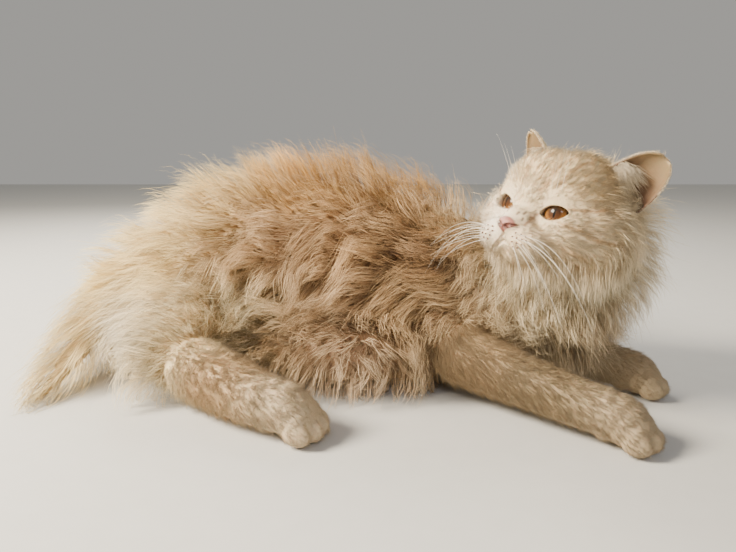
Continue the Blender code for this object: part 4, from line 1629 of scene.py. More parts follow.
        # A hair's brightness: its layer's painted sheen (guard hairs) and shade (undercoat), its tuft's tone and
        # painted parting shade, and a random tone of its own
        shade = layer.gloss * guides.shade[which] * np.clip(draw.normal(1.0, 0.10, count), 0.7, 1.28)
        spine, ups, colours = [], [], []
        for ring in (*blade.rings, 1.0):
            share = start + (end - start) * ring
            spot = np.clip(share, 0.0, 0.9999) * cut.steps
            first = spot.astype(int)
            part = (spot - first)[:, None]
            here, there = guides.spine[which, first], guides.spine[which, first + 1]
            up = unit(guides.up[which, first] * (1 - part) + guides.up[which, first + 1] * part)
            ahead = unit(there - here)
            across = unit(np.cross(up, ahead))
            past = (np.maximum(share - 1.0, 0.0) * cut.steps * np.linalg.norm(there - here, axis=1))[:, None]
            place = here + (there - here) * part + ahead * past
            place = place + across * sideways * (1.0 - gather * share)[:, None] + ahead0 * forward
            place = place + up * lift * share[:, None] + drift * (share**1.6)[:, None]
            place[:, 2] = np.maximum(place[:, 2], cut.floor_clear * (0.3 + 0.7 * draw.random(count)))
            spine.append(place)
            ups.append(up)
            # From the colour near the skin to the tip colour: partly the hair's own colours, partly painted shade
            # deep in the coat and painted highlight on the tips
            blend = (np.clip(share * 1.2 - 0.12, 0.0, 1.0)[:, None]) ** 0.9
            colours.append((low * (1 - blend) + tip * blend) * shade[:, None])
        width = layer.width * cut.thick * draw.uniform(0.65, 1.3, count) * np.where(wild, 0.6, 1.0)
        return Hairs(
            np.stack(spine, axis=1), np.stack(ups, axis=1), width, np.stack(colours, axis=1), guides.root[which]
        )


@dataclass(frozen=True)
class ShortCut:
    """How short fur is grown: the distance between tufts, their hairs, and how they stand."""

    spacing: float
    hairs: int
    width: float
    low_angle: float = math.radians(40)
    high_angle: float = math.radians(14)
    stray: float = math.radians(14)
    gather: float = 0.5
    drift: float = 0.08
    sink: float = 0.0005
    uneven: float = 0.05
    rise: float = math.radians(3)
    # A factor on the fur's colour; 0.84 on the wool under the long coat is painted shade deep in the coat
    tone: float = 1.0


class ShortFur:
    """Short fur in small tufts that lie one way."""

    def __init__(self, surface: Surface, part: int, markings: Markings, cut: ShortCut, seed: int) -> None:
        self.surface = surface
        self.part = part
        self.markings = markings
        self.cut = cut
        self.draw = np.random.default_rng(seed)

    def hairs(self, here: Zone, lie: Field, length: Field, blade: Blade) -> Hairs:
        """Grows the fur.

        Args:
            here: Says how densely it grows at points with normals, 1 for the distance of the cut.
            lie: Which way it lies at points.
            length: How long it is at points.
            blade: The form of a hair.

        Returns:
            The hairs.
        """
        cut, draw = self.cut, self.draw
        roots, normals = self.surface.scatter(
            self.part, lambda spots, ups: here(spots, ups) / cut.spacing**2, draw
        )
        count = len(roots)
        flat = turned(along(normals, lie(roots)), normals, draw.normal(0, cut.stray, count))
        size = length(roots) * draw.uniform(0.8, 1.2, count)
        low, tip = self.markings.at(roots)
        shade = np.clip(draw.normal(1.0, cut.uneven, count), 0.7, 1.25)
        rise = draw.normal(0, cut.rise, count)
        which = np.repeat(np.arange(count), cut.hairs)
        number = len(which)
        radius = cut.spacing * 0.8 * np.sqrt(draw.random(number))
        angle = draw.uniform(0, math.tau, number)
        across = np.cross(normals, flat)[which]
        flat, up = flat[which], normals[which]
        offset = across * (radius * np.cos(angle))[:, None] + flat * (radius * np.sin(angle))[:, None]
        lift = rise[which] + draw.normal(0, math.radians(7), number)
        drift = draw.normal(0, cut.drift, (number, 3))
        size = size[which] * draw.uniform(0.75, 1.15, number)
        shade = cut.tone * shade[which] * np.clip(draw.normal(1.0, 0.07, number), 0.75, 1.2)
        place = roots[which] + offset - up * cut.sink
        spine, ups, colours = [place], [up], [low[which] * shade[:, None]]
        shares_of = (*blade.rings, 1.0)
        for before, ring in zip(shares_of, shares_of[1:]):
            middle = (before + ring) / 2
            slope = (cut.low_angle + (cut.high_angle - cut.low_angle) * middle + lift)[:, None]
            step = (size * (ring - before))[:, None]
            heading = unit(flat * np.cos(slope) + up * np.sin(slope) + drift * middle)
            place = place + heading * step - offset * (cut.gather * (ring - before))
            place[:, 2] = np.maximum(place[:, 2], 0.0008)
            spine.append(place)
            ups.append(up)
            colours.append((low[which] * (1 - ring) + tip[which] * ring) * shade[:, None])
        width = cut.width * draw.uniform(0.7, 1.25, number) * np.clip(np.sqrt(size / 0.006), 0.5, 1.5)
        colour = np.stack(colours, axis=1)
        return Hairs(np.stack(spine, axis=1), np.stack(ups, axis=1), width, colour, roots[which])


# The strokes of the comb, as the coat lies: the right side as it shows, the left as the breed's coat falls

STROKES = [
    # Rump and hip
    Stroke((-0.105, 0.060, 0.160), (-0.60, 0.00, 0.20), 0.052, 0.042, 0.15, 0.16),
    Stroke((-0.125, 0.025, 0.145), (-0.80, 0.00, 0.10), 0.058, 0.042, 0.15, 0.16),
    Stroke((-0.155, 0.000, 0.125), (-0.95, 0.00, -0.05), 0.064, 0.040, 0.12, 0.16),
    Stroke((-0.130, -0.035, 0.125), (-0.90, 0.00, -0.40), 0.070, 0.036, 0.12, 0.16),
    Stroke((-0.115, -0.050, 0.105), (-0.84, 0.00, -0.54), 0.072, 0.034, 0.15, 0.16),
    Stroke((-0.155, -0.045, 0.090), (-0.93, 0.00, -0.36), 0.075, 0.034, 0.10, 0.16),
    Stroke((-0.205, 0.010, 0.085), (-0.85, -0.20, -0.30), 0.060, 0.034, 0.10, 0.16),
    Stroke((-0.205, 0.060, 0.080), (-0.85, 0.10, -0.30), 0.060, 0.032, 0.10, 0.16),
    Stroke((-0.120, -0.060, 0.092), (-0.63, 0.00, -0.78), 0.060, 0.030, 0.15, 0.16),
    Stroke((-0.155, -0.050, 0.050), (-0.46, 0.00, -0.89), 0.050, 0.028, 0.35, 0.16),
    Stroke((-0.090, -0.065, 0.067), (-0.82, 0.00, -0.57), 0.050, 0.026, 0.25, 0.16),
    # Flank, from the spine down
    Stroke((-0.045, -0.020, 0.165), (-0.40, 0.00, 0.20), 0.054, 0.042, 0.20, 0.12),
    Stroke((0.000, -0.025, 0.168), (-0.30, 0.00, 0.15), 0.054, 0.042, 0.20, 0.12),
    Stroke((0.045, 0.010, 0.165), (-0.75, 0.00, 0.15), 0.050, 0.038, 0.20, 0.12),
    Stroke((0.080, 0.020, 0.155), (-0.95, 0.00, 0.05), 0.046, 0.034, 0.20, 0.12),
    Stroke((-0.075, -0.050, 0.128), (-0.25, 0.00, -0.97), 0.054, 0.036, 0.62, 0.62),
    Stroke((-0.098, -0.058, 0.100), (-0.30, 0.00, -0.95), 0.054, 0.034, 0.44, 0.62),
    Stroke((0.058, -0.050, 0.145), (-1.00, 0.00, -0.06), 0.058, 0.034, 0.38, 0.62),
    Stroke((0.015, -0.045, 0.145), (-0.60, 0.00, -0.80), 0.050, 0.038, 0.56, 0.62),
    Stroke((0.003, -0.045, 0.155), (-0.24, 0.00, -0.97), 0.050, 0.040, 0.50, 0.62),
    Stroke((-0.008, -0.050, 0.140), (-0.93, 0.00, -0.37), 0.056, 0.036, 0.50, 0.62),
    Stroke((-0.045, -0.045, 0.140), (-0.88, 0.00, -0.48), 0.050, 0.038, 0.56, 0.62),
    Stroke((-0.062, -0.045, 0.138), (0.36, 0.00, -0.93), 0.047, 0.038, 0.69, 0.62),
    Stroke((0.052, -0.055, 0.130), (-0.99, 0.00, -0.13), 0.058, 0.034, 0.38, 0.62),
    Stroke((0.065, -0.066, 0.115), (-0.98, 0.00, 0.17), 0.056, 0.032, 0.38, 0.62),
    Stroke((0.030, -0.065, 0.121), (-1.00, 0.00, -0.07), 0.059, 0.034, 0.44, 0.62),
    Stroke((-0.018, -0.076, 0.114), (-0.32, 0.00, -0.95), 0.054, 0.036, 0.62, 0.62),
    Stroke((-0.054, -0.067, 0.112), (0.22, 0.00, -0.98), 0.050, 0.036, 0.69, 0.62),
    Stroke((-0.073, -0.060, 0.108), (-0.17, 0.00, -0.99), 0.052, 0.034, 0.62, 0.62),
    Stroke((-0.039, -0.075, 0.105), (0.18, 0.00, -0.98), 0.050, 0.036, 0.62, 0.62),
    Stroke((0.080, -0.065, 0.105), (-0.98, 0.00, -0.21), 0.054, 0.028, 0.38, 0.62),
    Stroke((0.086, -0.070, 0.084), (-0.99, 0.00, -0.14), 0.056, 0.026, 0.31, 0.62),
    Stroke((0.037, -0.082, 0.081), (-0.98, 0.00, 0.20), 0.054, 0.030, 0.38, 0.62),
    Stroke((0.009, -0.083, 0.073), (-0.85, 0.00, 0.30), 0.045, 0.030, 0.56, 0.62),
    Stroke((-0.012, -0.083, 0.080), (-0.62, 0.00, -0.78), 0.050, 0.032, 0.50, 0.62),
    Stroke((-0.032, -0.082, 0.072), (-0.71, 0.00, -0.71), 0.052, 0.030, 0.44, 0.62),
    Stroke((-0.062, -0.070, 0.068), (-0.77, 0.00, -0.63), 0.050, 0.028, 0.44, 0.62),
    # Belly fringe
    Stroke((0.000, -0.095, 0.052), (-0.60, -0.20, -0.78), 0.042, 0.030, 0.55, 0.05),
    Stroke((0.023, -0.094, 0.054), (-0.10, -0.25, -0.96), 0.044, 0.032, 0.50, 0.05),
    Stroke((0.043, -0.092, 0.055), (0.50, -0.20, -0.84), 0.044, 0.030, 0.50, 0.05),
    Stroke((0.064, -0.085, 0.055), (0.60, -0.10, -0.79), 0.042, 0.026, 0.45, 0.08),
    Stroke((-0.035, -0.085, 0.040), (-0.30, -0.10, -0.95), 0.038, 0.026, 0.45, 0.10),
    # Where the shoulder meets the ruff
    Stroke((0.108, -0.030, 0.135), (-0.35, 0.00, -0.94), 0.049, 0.026, 0.20, 0.38),
    Stroke((0.104, -0.060, 0.104), (-0.05, 0.00, -1.00), 0.051, 0.024, 0.15, 0.38),
    Stroke((0.097, -0.080, 0.061), (-0.27, 0.00, -0.96), 0.040, 0.020, 0.20, 0.38),
    Stroke((0.082, -0.040, 0.140), (-0.59, 0.00, -0.80), 0.044, 0.028, 0.50, 0.38),
    # Neck, ruff and chest
    Stroke((0.140, 0.010, 0.130), (-0.60, 0.55, -0.50), 0.034, 0.027, 0.40, 0.26),
    Stroke((0.180, 0.000, 0.125), (0.00, 0.70, -0.70), 0.034, 0.027, 0.40, 0.26),
    Stroke((0.225, -0.040, 0.125), (0.45, 0.20, -0.85), 0.031, 0.025, 0.40, 0.26),
    Stroke((0.235, -0.060, 0.095), (0.25, 0.00, -0.97), 0.034, 0.027, 0.40, 0.26),
    Stroke((0.200, -0.095, 0.100), (0.05, -0.20, -0.98), 0.031, 0.025, 0.40, 0.26),
    Stroke((0.160, -0.095, 0.085), (-0.20, -0.15, -0.95), 0.032, 0.025, 0.40, 0.26),
    Stroke((0.130, -0.085, 0.085), (-0.35, -0.10, -0.93), 0.033, 0.023, 0.40, 0.26),
    Stroke((0.125, -0.070, 0.110), (-0.40, -0.10, -0.90), 0.034, 0.023, 0.40, 0.26),
    Stroke((0.210, -0.080, 0.065), (0.10, -0.20, -0.97), 0.030, 0.021, 0.40, 0.26),
    Stroke((0.170, -0.085, 0.055), (0.35, -0.50, -0.75), 0.029, 0.018, 0.40, 0.26),
    Stroke((0.120, -0.080, 0.055), (0.45, -0.45, -0.75), 0.027, 0.015, 0.40, 0.26),
    Stroke((0.225, -0.010, 0.070), (0.40, 0.30, -0.85), 0.031, 0.025, 0.40, 0.26),
    Stroke((0.190, 0.010, 0.060), (0.20, 0.60, -0.80), 0.031, 0.025, 0.40, 0.26),
    # The left side
    Stroke((0.080, 0.060, 0.115), (-0.80, 0.20, -0.55), 0.060, 0.032, 0.30, 0.40),
    Stroke((0.030, 0.085, 0.130), (-0.85, 0.10, -0.50), 0.064, 0.036, 0.35, 0.40),
    Stroke((-0.060, 0.100, 0.130), (-0.80, 0.10, -0.60), 0.064, 0.036, 0.35, 0.40),
    Stroke((-0.010, 0.100, 0.080), (-0.70, 0.10, -0.70), 0.064, 0.034, 0.35, 0.40),
    Stroke((0.060, 0.080, 0.055), (-0.45, 0.10, -0.88), 0.052, 0.024, 0.25, 0.40),
    Stroke((0.000, 0.105, 0.040), (-0.20, 0.10, -0.97), 0.050, 0.024, 0.20, 0.40),
    Stroke((-0.090, 0.130, 0.085), (-0.80, 0.10, -0.60), 0.058, 0.030, 0.25, 0.40),
    Stroke((-0.150, 0.110, 0.090), (-0.90, 0.10, -0.45), 0.064, 0.034, 0.15, 0.40),
    Stroke((-0.165, 0.110, 0.050), (-0.60, 0.20, -0.80), 0.050, 0.028, 0.25, 0.40),
    Stroke((-0.080, 0.070, 0.155), (-0.70, 0.30, 0.00), 0.056, 0.040, 0.20, 0.12),
    Stroke((0.020, 0.060, 0.155), (-0.70, 0.35, -0.10), 0.056, 0.040, 0.20, 0.12),
]

# The fur that grows long behind the cheeks and under the jaw, in the head's frame, for both sides
HEAD_STROKES = [
    Stroke((0.044, -0.022, -0.004), (0.50, 0.70, -0.30), 0.012, 0.0022, 0.10, 0.20),
    Stroke((0.036, -0.030, -0.020), (0.45, 0.40, -0.70), 0.013, 0.0028, 0.10, 0.20),
    Stroke((0.022, -0.040, -0.034), (0.25, 0.10, -0.95), 0.013, 0.0026, 0.10, 0.20),
    Stroke((0.048, -0.012, -0.008), (0.40, 0.70, -0.45), 0.017, 0.0042, 0.20, 0.25),
    Stroke((0.045, -0.010, -0.028), (0.40, 0.35, -0.80), 0.022, 0.0070, 0.25, 0.25),
    Stroke((0.030, -0.028, -0.036), (0.25, 0.15, -0.95), 0.020, 0.0062, 0.25, 0.25),
    Stroke((0.008, -0.040, -0.042), (0.05, 0.20, -0.98), 0.018, 0.0052, 0.20, 0.25),
    Stroke((0.052, 0.012, -0.010), (0.50, 0.60, -0.60), 0.025, 0.0090, 0.30, 0.25),
    Stroke((0.046, 0.034, 0.000), (0.45, 0.70, -0.55), 0.030, 0.0150, 0.30, 0.25),
    Stroke((0.046, -0.006, 0.014), (0.40, 0.90, -0.05), 0.013, 0.0026, 0.10, 0.20),
    Stroke((0.048, 0.010, 0.018), (0.40, 0.85, -0.15), 0.018, 0.0048, 0.15, 0.20),
    Stroke((0.020, 0.046, 0.020), (0.15, 0.75, -0.60), 0.028, 0.0120, 0.20, 0.20),
    Stroke((0.015, 0.020, 0.044), (0.10, 0.95, 0.05), 0.013, 0.0034, 0.10, 0.15),
    Stroke((0.020, -0.005, 0.042), (0.15, 0.95, 0.15), 0.011, 0.0022, 0.10, 0.15),
]

PATCHES = [
    # Back and rump
    Patch((-0.030, 0.010, 0.175), "#a17b47", "#d6a65c"),
    Patch((0.060, 0.010, 0.170), "#967042", "#cea15b"),
    Patch((-0.120, 0.040, 0.155), "#c9a56b", "#f8dc96"),
    Patch((-0.165, 0.010, 0.120), "#d8b47a", "#fce8ae"),
    Patch((-0.150, -0.050, 0.095), "#dab87a", "#ffe9a6"),
    Patch((-0.200, 0.000, 0.060), "#dfbf80", "#ffeaa8"),
    Patch((-0.215, -0.060, 0.030), "#dcc08c", "#fdebb6"),
    Patch((-0.170, -0.055, 0.045), "#e9dcc4", "#fff6e0"),
    Patch((-0.150, -0.055, 0.045), "#eadfc9", "#fff6e2"),
    # Flank
    Patch((-0.050, -0.070, 0.115), "#82593a", "#e2be91"),
    Patch((-0.090, -0.060, 0.105), "#8f6640", "#e4c293"),
    Patch((0.030, -0.070, 0.120), "#845c3a", "#e0ba88"),
    # Painted shade: this dark patch behind the shoulder stands for the shade of a deep parting in the coat
    Patch((0.066, -0.065, 0.114), "#4c311c", "#b0875a", 1.05),
    Patch((0.060, -0.070, 0.075), "#87613e", "#dfbe8f"),
    Patch((0.000, -0.090, 0.075), "#866142", "#dfbf94"),
    Patch((0.020, -0.100, 0.030), "#b3906e", "#ecd3b0"),
    Patch((-0.095, -0.070, 0.068), "#dec08e", "#ffefc6", 1.3),
    Patch((-0.050, -0.090, 0.045), "#805e3f", "#c9a77c", 0.7),
    # Ruff and chest
    Patch((0.108, -0.040, 0.135), "#cfae7c", "#f0dbb2", 0.8),
    Patch((0.150, -0.090, 0.090), "#e2cba2", "#fdf0d0"),
    Patch((0.200, -0.100, 0.100), "#e2cda4", "#fdf1d2"),
    Patch((0.235, -0.060, 0.115), "#d2b98c", "#f2e0b8"),
    Patch((0.205, -0.085, 0.055), "#ccb088", "#ecd8b4"),
    Patch((0.115, -0.085, 0.050), "#b3926a", "#dfc69c"),
    Patch((0.150, 0.010, 0.140), "#c5a070", "#e8cfa2"),
    # The left side
    Patch((0.000, 0.110, 0.100), "#a67d50", "#dcb886"),
    Patch((-0.110, 0.120, 0.090), "#bb915f", "#e8ca98"),
    Patch((0.000, 0.110, 0.035), "#c9ae94", "#efe0ce"),
    Patch((-0.170, 0.110, 0.060), "#d8b681", "#f7e6c0"),
    # Legs and paws
    # The forelegs and forepaws: partly their own tan, and partly painted shade, as they lie under the chest and the
    # head
    Patch((0.115, -0.085, 0.040), "#7c6248", "#9f8866"),
    Patch((0.150, -0.118, 0.030), "#836d52", "#a89573"),
    Patch((0.205, -0.165, 0.020), "#988266", "#bcaa8b"),
    Patch((0.230, -0.062, 0.022), "#97805f", "#bca686"),
    Patch((0.260, -0.072, 0.020), "#9a8466", "#bfac8c"),
    Patch((-0.125, -0.070, 0.045), "#dac294", "#fbecc6", 1.15),
    Patch((-0.080, -0.112, 0.028), "#a78560", "#e0c498", 0.85),
    Patch((-0.015, -0.145, 0.020), "#ab9374", "#d8c6a6"),
    Patch((-0.080, 0.160, 0.030), "#bd9d73", "#dfc79f"),
    Patch((-0.015, 0.172, 0.020), "#c3ab84", "#e8d8ba"),
]

# The face's own patches, in the head's frame. The cat's left side (+X) is painted darker than its right: partly a
# paler right cheek of its own, partly painted shade on the left cheek
FACE_PATCHES = [
    Patch((0.000, -0.030, 0.034), "#d0b383", "#fdeac4", 0.6),
    Patch((0.000, 0.010, 0.047), "#c3a371", "#f6e2b6", 0.7),
    Patch((0.030, -0.015, 0.025), "#b89868", "#f2dbb0", 0.6),
    Patch((-0.030, -0.015, 0.025), "#cfb281", "#fceac6", 0.6),
    Patch((0.045, -0.015, -0.010), "#c0a37a", "#f3e2be", 0.7),
    Patch((-0.045, -0.015, -0.010), "#dccaa8", "#f7ecd6", 0.7),
    Patch((0.048, 0.020, -0.012), "#c6a97e", "#f5e5c2", 0.8),
    Patch((-0.048, 0.020, -0.012), "#d0b68c", "#f0dfbb", 0.8),
    Patch((0.030, -0.025, -0.030), "#c3a780", "#f4e3c2", 0.6),
    Patch((0.012, -0.053, -0.024), "#c9ae88", "#f8e6c6", 0.5),
    Patch((-0.015, -0.045, -0.018), "#e4d4bc", "#fdf3e2", 0.6),
    Patch((0.000, -0.048, 0.002), "#c8ae85", "#f8e6c4", 0.4),
    Patch((0.000, -0.045, -0.038), "#c9ae86", "#efdcbb", 0.5),
]

def both_sides(*lines: Line) -> list[Line]:
    """Gives each line, and after it the same line on the other side of the face."""
    pairs = []
    for line in lines:
        pairs += [line, replace(line, path=tuple((-x, y, z) for x, y, z in line.path))]
    return pairs


# Fine darker lines of the face, in the head's frame: ticking over the brow, and from the eyes to the ears
FACE_LINES = [
    *both_sides(
        Line(((0.009, -0.040, 0.012), (0.011, -0.034, 0.026), (0.015, -0.022, 0.040)), "#a87c4c", 0.0019, 0.50),
        Line(((0.003, -0.042, 0.016), (0.004, -0.034, 0.032), (0.005, -0.020, 0.044)), "#b08655", 0.0013, 0.45),
        Line(((0.017, -0.036, 0.016), (0.021, -0.026, 0.030), (0.025, -0.014, 0.040)), "#a87c4c", 0.0015, 0.45),
        Line(((0.028, -0.030, 0.002), (0.038, -0.020, 0.004), (0.046, -0.004, 0.006)), "#8f6338", 0.0012, 0.70),
        Line(((0.027, -0.031, -0.007), (0.038, -0.022, -0.010), (0.046, -0.008, -0.010)), "#a0733f", 0.0013, 0.55),
    ),
    Line(((0.030, -0.032, -0.017), (0.041, -0.020, -0.022)), "#a98256", 0.0020, 0.50),
    *both_sides(
        Line(((0.009, -0.037, -0.004), (0.0085, -0.043, -0.009), (0.010, -0.047, -0.013)), "#7a4f35", 0.0012, 0.75),
    ),
    Line(((0.0060, -0.0450, -0.0050), (0.0063, -0.0470, -0.0062)), "#5e4030", 0.0008, 0.85),
    Line(((0.0035, -0.0480, -0.0060), (0.0038, -0.0500, -0.0070)), "#5e4030", 0.0008, 0.80),
    Line(((0.0075, -0.0480, -0.0085), (0.0082, -0.0490, -0.0095)), "#5e4030", 0.0008, 0.80),
    Line(((0.0105, -0.0440, -0.0060), (0.0112, -0.0450, -0.0070)), "#5e4030", 0.0008, 0.80),
    Line(((-0.0050, -0.0460, -0.0055), (-0.0053, -0.0480, -0.0068)), "#5e4030", 0.0008, 0.75),
]


def swept(
    roots: np.ndarray, first: np.ndarray, last: np.ndarray, length: np.ndarray, up: np.ndarray, rings: tuple
) -> tuple[np.ndarray, np.ndarray]:
    """Bends hairs from a first heading to a last one.

    Args:
        roots: Where they start.
        first: Which way they leave the skin.
        last: Which way their tips point.
        length: How long they are.
        up: The skin's normals.
        rings: The shares of the length that have a ring.

    Returns:
        The places and the ups at the rings and the tip.
    """
    place = roots
    spine = [place]
    for before, after in zip(rings, (*rings[1:], 1.0)):
        middle = (before + after) / 2
        place = place + unit(first * (1 - middle) + last * middle) * (length * (after - before))[:, None]
        spine.append(place)
    return np.stack(spine, axis=1), np.repeat(up[:, None], len(spine), axis=1)


class Coat:
    """The whole coat: long on the body and tail, short on the head, legs and paws."""

    def __init__(self, skin: "Skin", body: bpy.types.Object, finish: bpy.types.Material) -> None:
        self.skin = skin
        self.surface = Surface(body, skin.part_at)
        self.markings = skin.markings
        self.finish = finish

    def lay(self, name: str, hairs: Hairs, blade: Blade, slot: Slot, axis: tuple[Vector, Vector]) -> None:
        """Makes the pieces of one region of the coat, none of them over the allowed number of triangles.

        Args:
            name: The region's name.
            hairs: Its hairs.
            blade: Their form.
            slot: The record's slot.
            axis: What the skin is unwrapped round.
        """
        most = 196000 // blade.triangles()
        pieces = max(1, math.ceil(len(hairs.root) / most))
        order = np.argsort((hairs.root - np.array(axis[0])) @ np.array((axis[1] - axis[0]).normalized()))
        for number, chosen in enumerate(np.array_split(order, pieces), start=1):
            title = name if pieces == 1 else f"{name}_{number}"
            piece = blade.mesh(title, hairs.pick(chosen), round_chart(*axis))
            ride_as(piece, slot, self.finish)

    def lay_long(
        self, long: LongCoat, slot: Slot, regions: list[tuple[str, Zone, tuple[Vector, Vector]]]
    ) -> None:
        """Grows both layers of a long coat, and makes the pieces of each region.

        Args:
            long: The coat.
            slot: The record's slot.
            regions: Each region's name, which roots it holds, and what the skin is unwrapped round.
        """
        guides = long.guides()
        for layer, blade, ending in ((UNDERCOAT, SPIKE, "_under"), (GUARD, MIDDLING, "")):
            hairs = long.hairs(guides, layer, blade)
            for name, holds, axis in regions:
                self.lay(name + ending, hairs.pick(holds(hairs.root)), blade, slot, axis)

    def grow_body(self) -> None:
        """Grows the long coat of the trunk, the ruff and the tail."""
        skin = self.skin
        along_trunk = (Vector((-0.19, 0.055, 0.06)), Vector((0.13, -0.01, 0.075)))
        upright = (Vector((0.170, -0.040, 0.0)), Vector((0.185, -0.048, 0.14)))
        combing = Combing(STROKES)
        # A short woolly undercoat under the long coat, its colour scaled down by its tone as painted shade deep in
        # the coat
        cut = ShortCut(
            0.0044,
            6,
            0.00052,
            low_angle=math.radians(50),
            high_angle=math.radians(24),
            stray=math.radians(26),
            gather=0.2,
            drift=0.32,
            uneven=0.10,
            rise=math.radians(8),
            tone=0.84,
        )
        wool = ShortFur(self.surface, 0, self.markings, cut, SEED + 4)
        hairs = wool.hairs(
            self.off_floor, combing.lie, lambda points: 0.006 + 0.14 * combing.measures(points)[:, 0], SPIKE
        )
        self.lay("coat_wool", hairs, SPIKE, Slot.GINGER, along_trunk)
        cut = LongCut(lock_spacing=0.0145, stray=math.radians(25), curl=math.radians(34))
        regions = [
            ("coat_back", lambda root: root[:, 2] > 0.118, along_trunk),
            ("coat_flank_right", lambda root: (root[:, 2] <= 0.118) & (root[:, 1] < 0.035), along_trunk),
            ("coat_flank_left", lambda root: (root[:, 2] <= 0.118) & (root[:, 1] >= 0.035), along_trunk),
        ]
        long = LongCoat(self.surface, 0, self.on_trunk, combing, self.markings, cut, SEED)
        self.lay_long(long, Slot.GINGER, regions)
        cut = LongCut(
            lock_spacing=0.0105,
            tuft_spacing=0.0038,
            stray=math.radians(17),
            curl=math.radians(24),
            fluff=1.45,
            dense=1.15,
            thick=0.80,
        )
        long = LongCoat(self.surface, 0, self.on_ruff, combing, self.markings, cut, SEED + 3)
        self.lay_long(long, Slot.CREAM, [("coat_ruff", lambda root: root[:, 2] > 0, upright)])
        cut = LongCut(lock_spacing=0.012, tuft_spacing=0.0036, stray=math.radians(9), curl=math.radians(8))
        long = LongCoat(
            self.surface, 1, self.off_floor, Combing(skin.tail.strokes()), self.markings, cut, SEED + 1
        )
        stations = skin.tail.stations
        axis = (stations[0][0], stations[-1][0])
        self.lay_long(long, Slot.GINGER, [("coat_tail", lambda root: root[:, 2] > 0, axis)])

    def grow_cheeks(self) -> None:
        """Grows the longer fur behind the cheeks, under the jaw and on the nape."""
        head = self.skin.head
        matrix = head.matrix()
        turn = matrix.to_3x3()
        strokes = []
        for stroke in HEAD_STROKES:
            for side in Side:
                flip = Vector((side.value, 1, 1))
                place = tuple(matrix @ (Vector(stroke.place) * flip))
                lie = tuple(turn @ (Vector(stroke.lie) * flip))
                strokes.append(Stroke(place, lie, stroke.length, stroke.depth, stroke.wave, stroke.clump))

        def zone(points: np.ndarray, normals: np.ndarray) -> np.ndarray:
            """Says where the face's fur has grown long."""
            return np.clip((self.from_face(points) - 0.02) / 0.25, 0.0, 1.0)

        cut = LongCut(
            lock_spacing=0.009,
            tuft_spacing=0.0036,
            stray=math.radians(11),
            curl=math.radians(16),
            sink=0.001,
            fluff=0.8,
            dense=1.25,
            thick=0.70,
        )
        part = self.skin.head_part
        long = LongCoat(self.surface, part, zone, Combing(strokes), self.markings, cut, SEED + 2)
        axis = (matrix @ Vector((0, 0.045, 0)), matrix @ head.nose_tip)
        self.lay_long(long, Slot.SHORT, [("coat_cheeks", lambda root: root[:, 2] > 0, axis)])

    def from_face(self, points: np.ndarray) -> np.ndarray:
        """Says how far points on the head are from the face: 0 on it, 1 at the nape and under the jaw."""
        local = self.skin.head.local(points)
        back = np.clip((local[:, 1] + 0.028) / 0.050, 0.0, 1.0)
        under = np.clip((-0.018 - local[:, 2]) / 0.022, 0.0, 1.0)
        under = under * np.clip((local[:, 1] + 0.046) / 0.010, 0.0, 1.0)
        crown = np.clip((local[:, 2] - 0.012) / 0.02, 0.0, 1.0)
        return np.maximum(back * (1.0 - 0.4 * crown), under)

    def grow_legs(self) -> None:
        """Grows the short fur of the legs and the paws."""
        for number, leg in enumerate(self.skin.legs):
            part = 2 + 2 * number
            curly = leg.name.startswith("hindleg")
            cut = ShortCut(
                0.0022 if curly else 0.0016,
                7 if curly else 4,
                0.00025,
                stray=math.radians(26 if curly else 9),
                low_angle=math.radians(38 if curly else 26),
                gather=0.35 if curly else 0.20,
                drift=0.16,
                uneven=0.09 if curly else 0.06,
                rise=math.radians(5 if curly else 2),
            )
            fur = ShortFur(self.surface, part, self.markings, cut, SEED + 10 + number)
            hairs = fur.hairs(self.off_floor, leg.lie, leg.fur_length, SPIKE)
            axis = (leg.stations[0][0], leg.stations[-1][0])
            self.lay(f"fur_{leg.name}", hairs, SPIKE, Slot.CREAM, axis)
            cut = ShortCut(0.0014, 4, 0.00026, low_angle=math.radians(22), high_angle=math.radians(8))
            fur = ShortFur(self.surface, part + 1, self.markings, cut, SEED + 20 + number)
            hairs = fur.hairs(self.off_floor, leg.paw_lie, leg.paw_fur_length, SPIKE)
            ahead = leg.paw_matrix() @ Vector((0.03, 0, 0))
            paw = leg.name.replace("leg", "paw")
            self.lay(f"fur_{paw}", hairs, SPIKE, Slot.SHORT, (leg.stations[-1][0], ahead))

    def grow_head(self) -> None:
        """Grows the short fur of the face, the head and the ears."""
        head = self.skin.head
        matrix = head.matrix()
        axis = (matrix @ Vector((0, 0.045, 0)), matrix @ head.nose_tip)

        def zone(points: np.ndarray, normals: np.ndarray) -> np.ndarray:
            """Says how densely the face's fur grows."""
            local = head.local(points)
            from_nose = np.linalg.norm(local - np.array(head.nose_tip), axis=1)
            fine = np.interp(from_nose, (0.010, 0.030, 0.060), (2.4, 1.5, 1.0))
            return fine * (1.0 - self.skin.bare_face(points)) * (1.0 - 0.80 * self.from_face(points))

        cut = ShortCut(
            0.0018,
            7,
            0.00020,
            low_angle=math.radians(22),
            high_angle=math.radians(8),
            stray=math.radians(10),
            gather=0.70,
            drift=0.05,
            uneven=0.07,
            rise=math.radians(5),
        )
        fur = ShortFur(self.surface, self.skin.head_part, self.markings, cut, SEED + 30)
        hairs = fur.hairs(zone, head.lie, lambda points: head.fur_length(head.local(points)), SPIKE)
        side = head.local(hairs.root)[:, 0] > 0
        self.lay("fur_face_left", hairs.pick(side), SPIKE, Slot.SHORT, axis)
        self.lay("fur_face_right", hairs.pick(~side), SPIKE, Slot.SHORT, axis)
        self.grow_cheeks()
        for ear in self.skin.ears:
            self.grow_ear(ear)

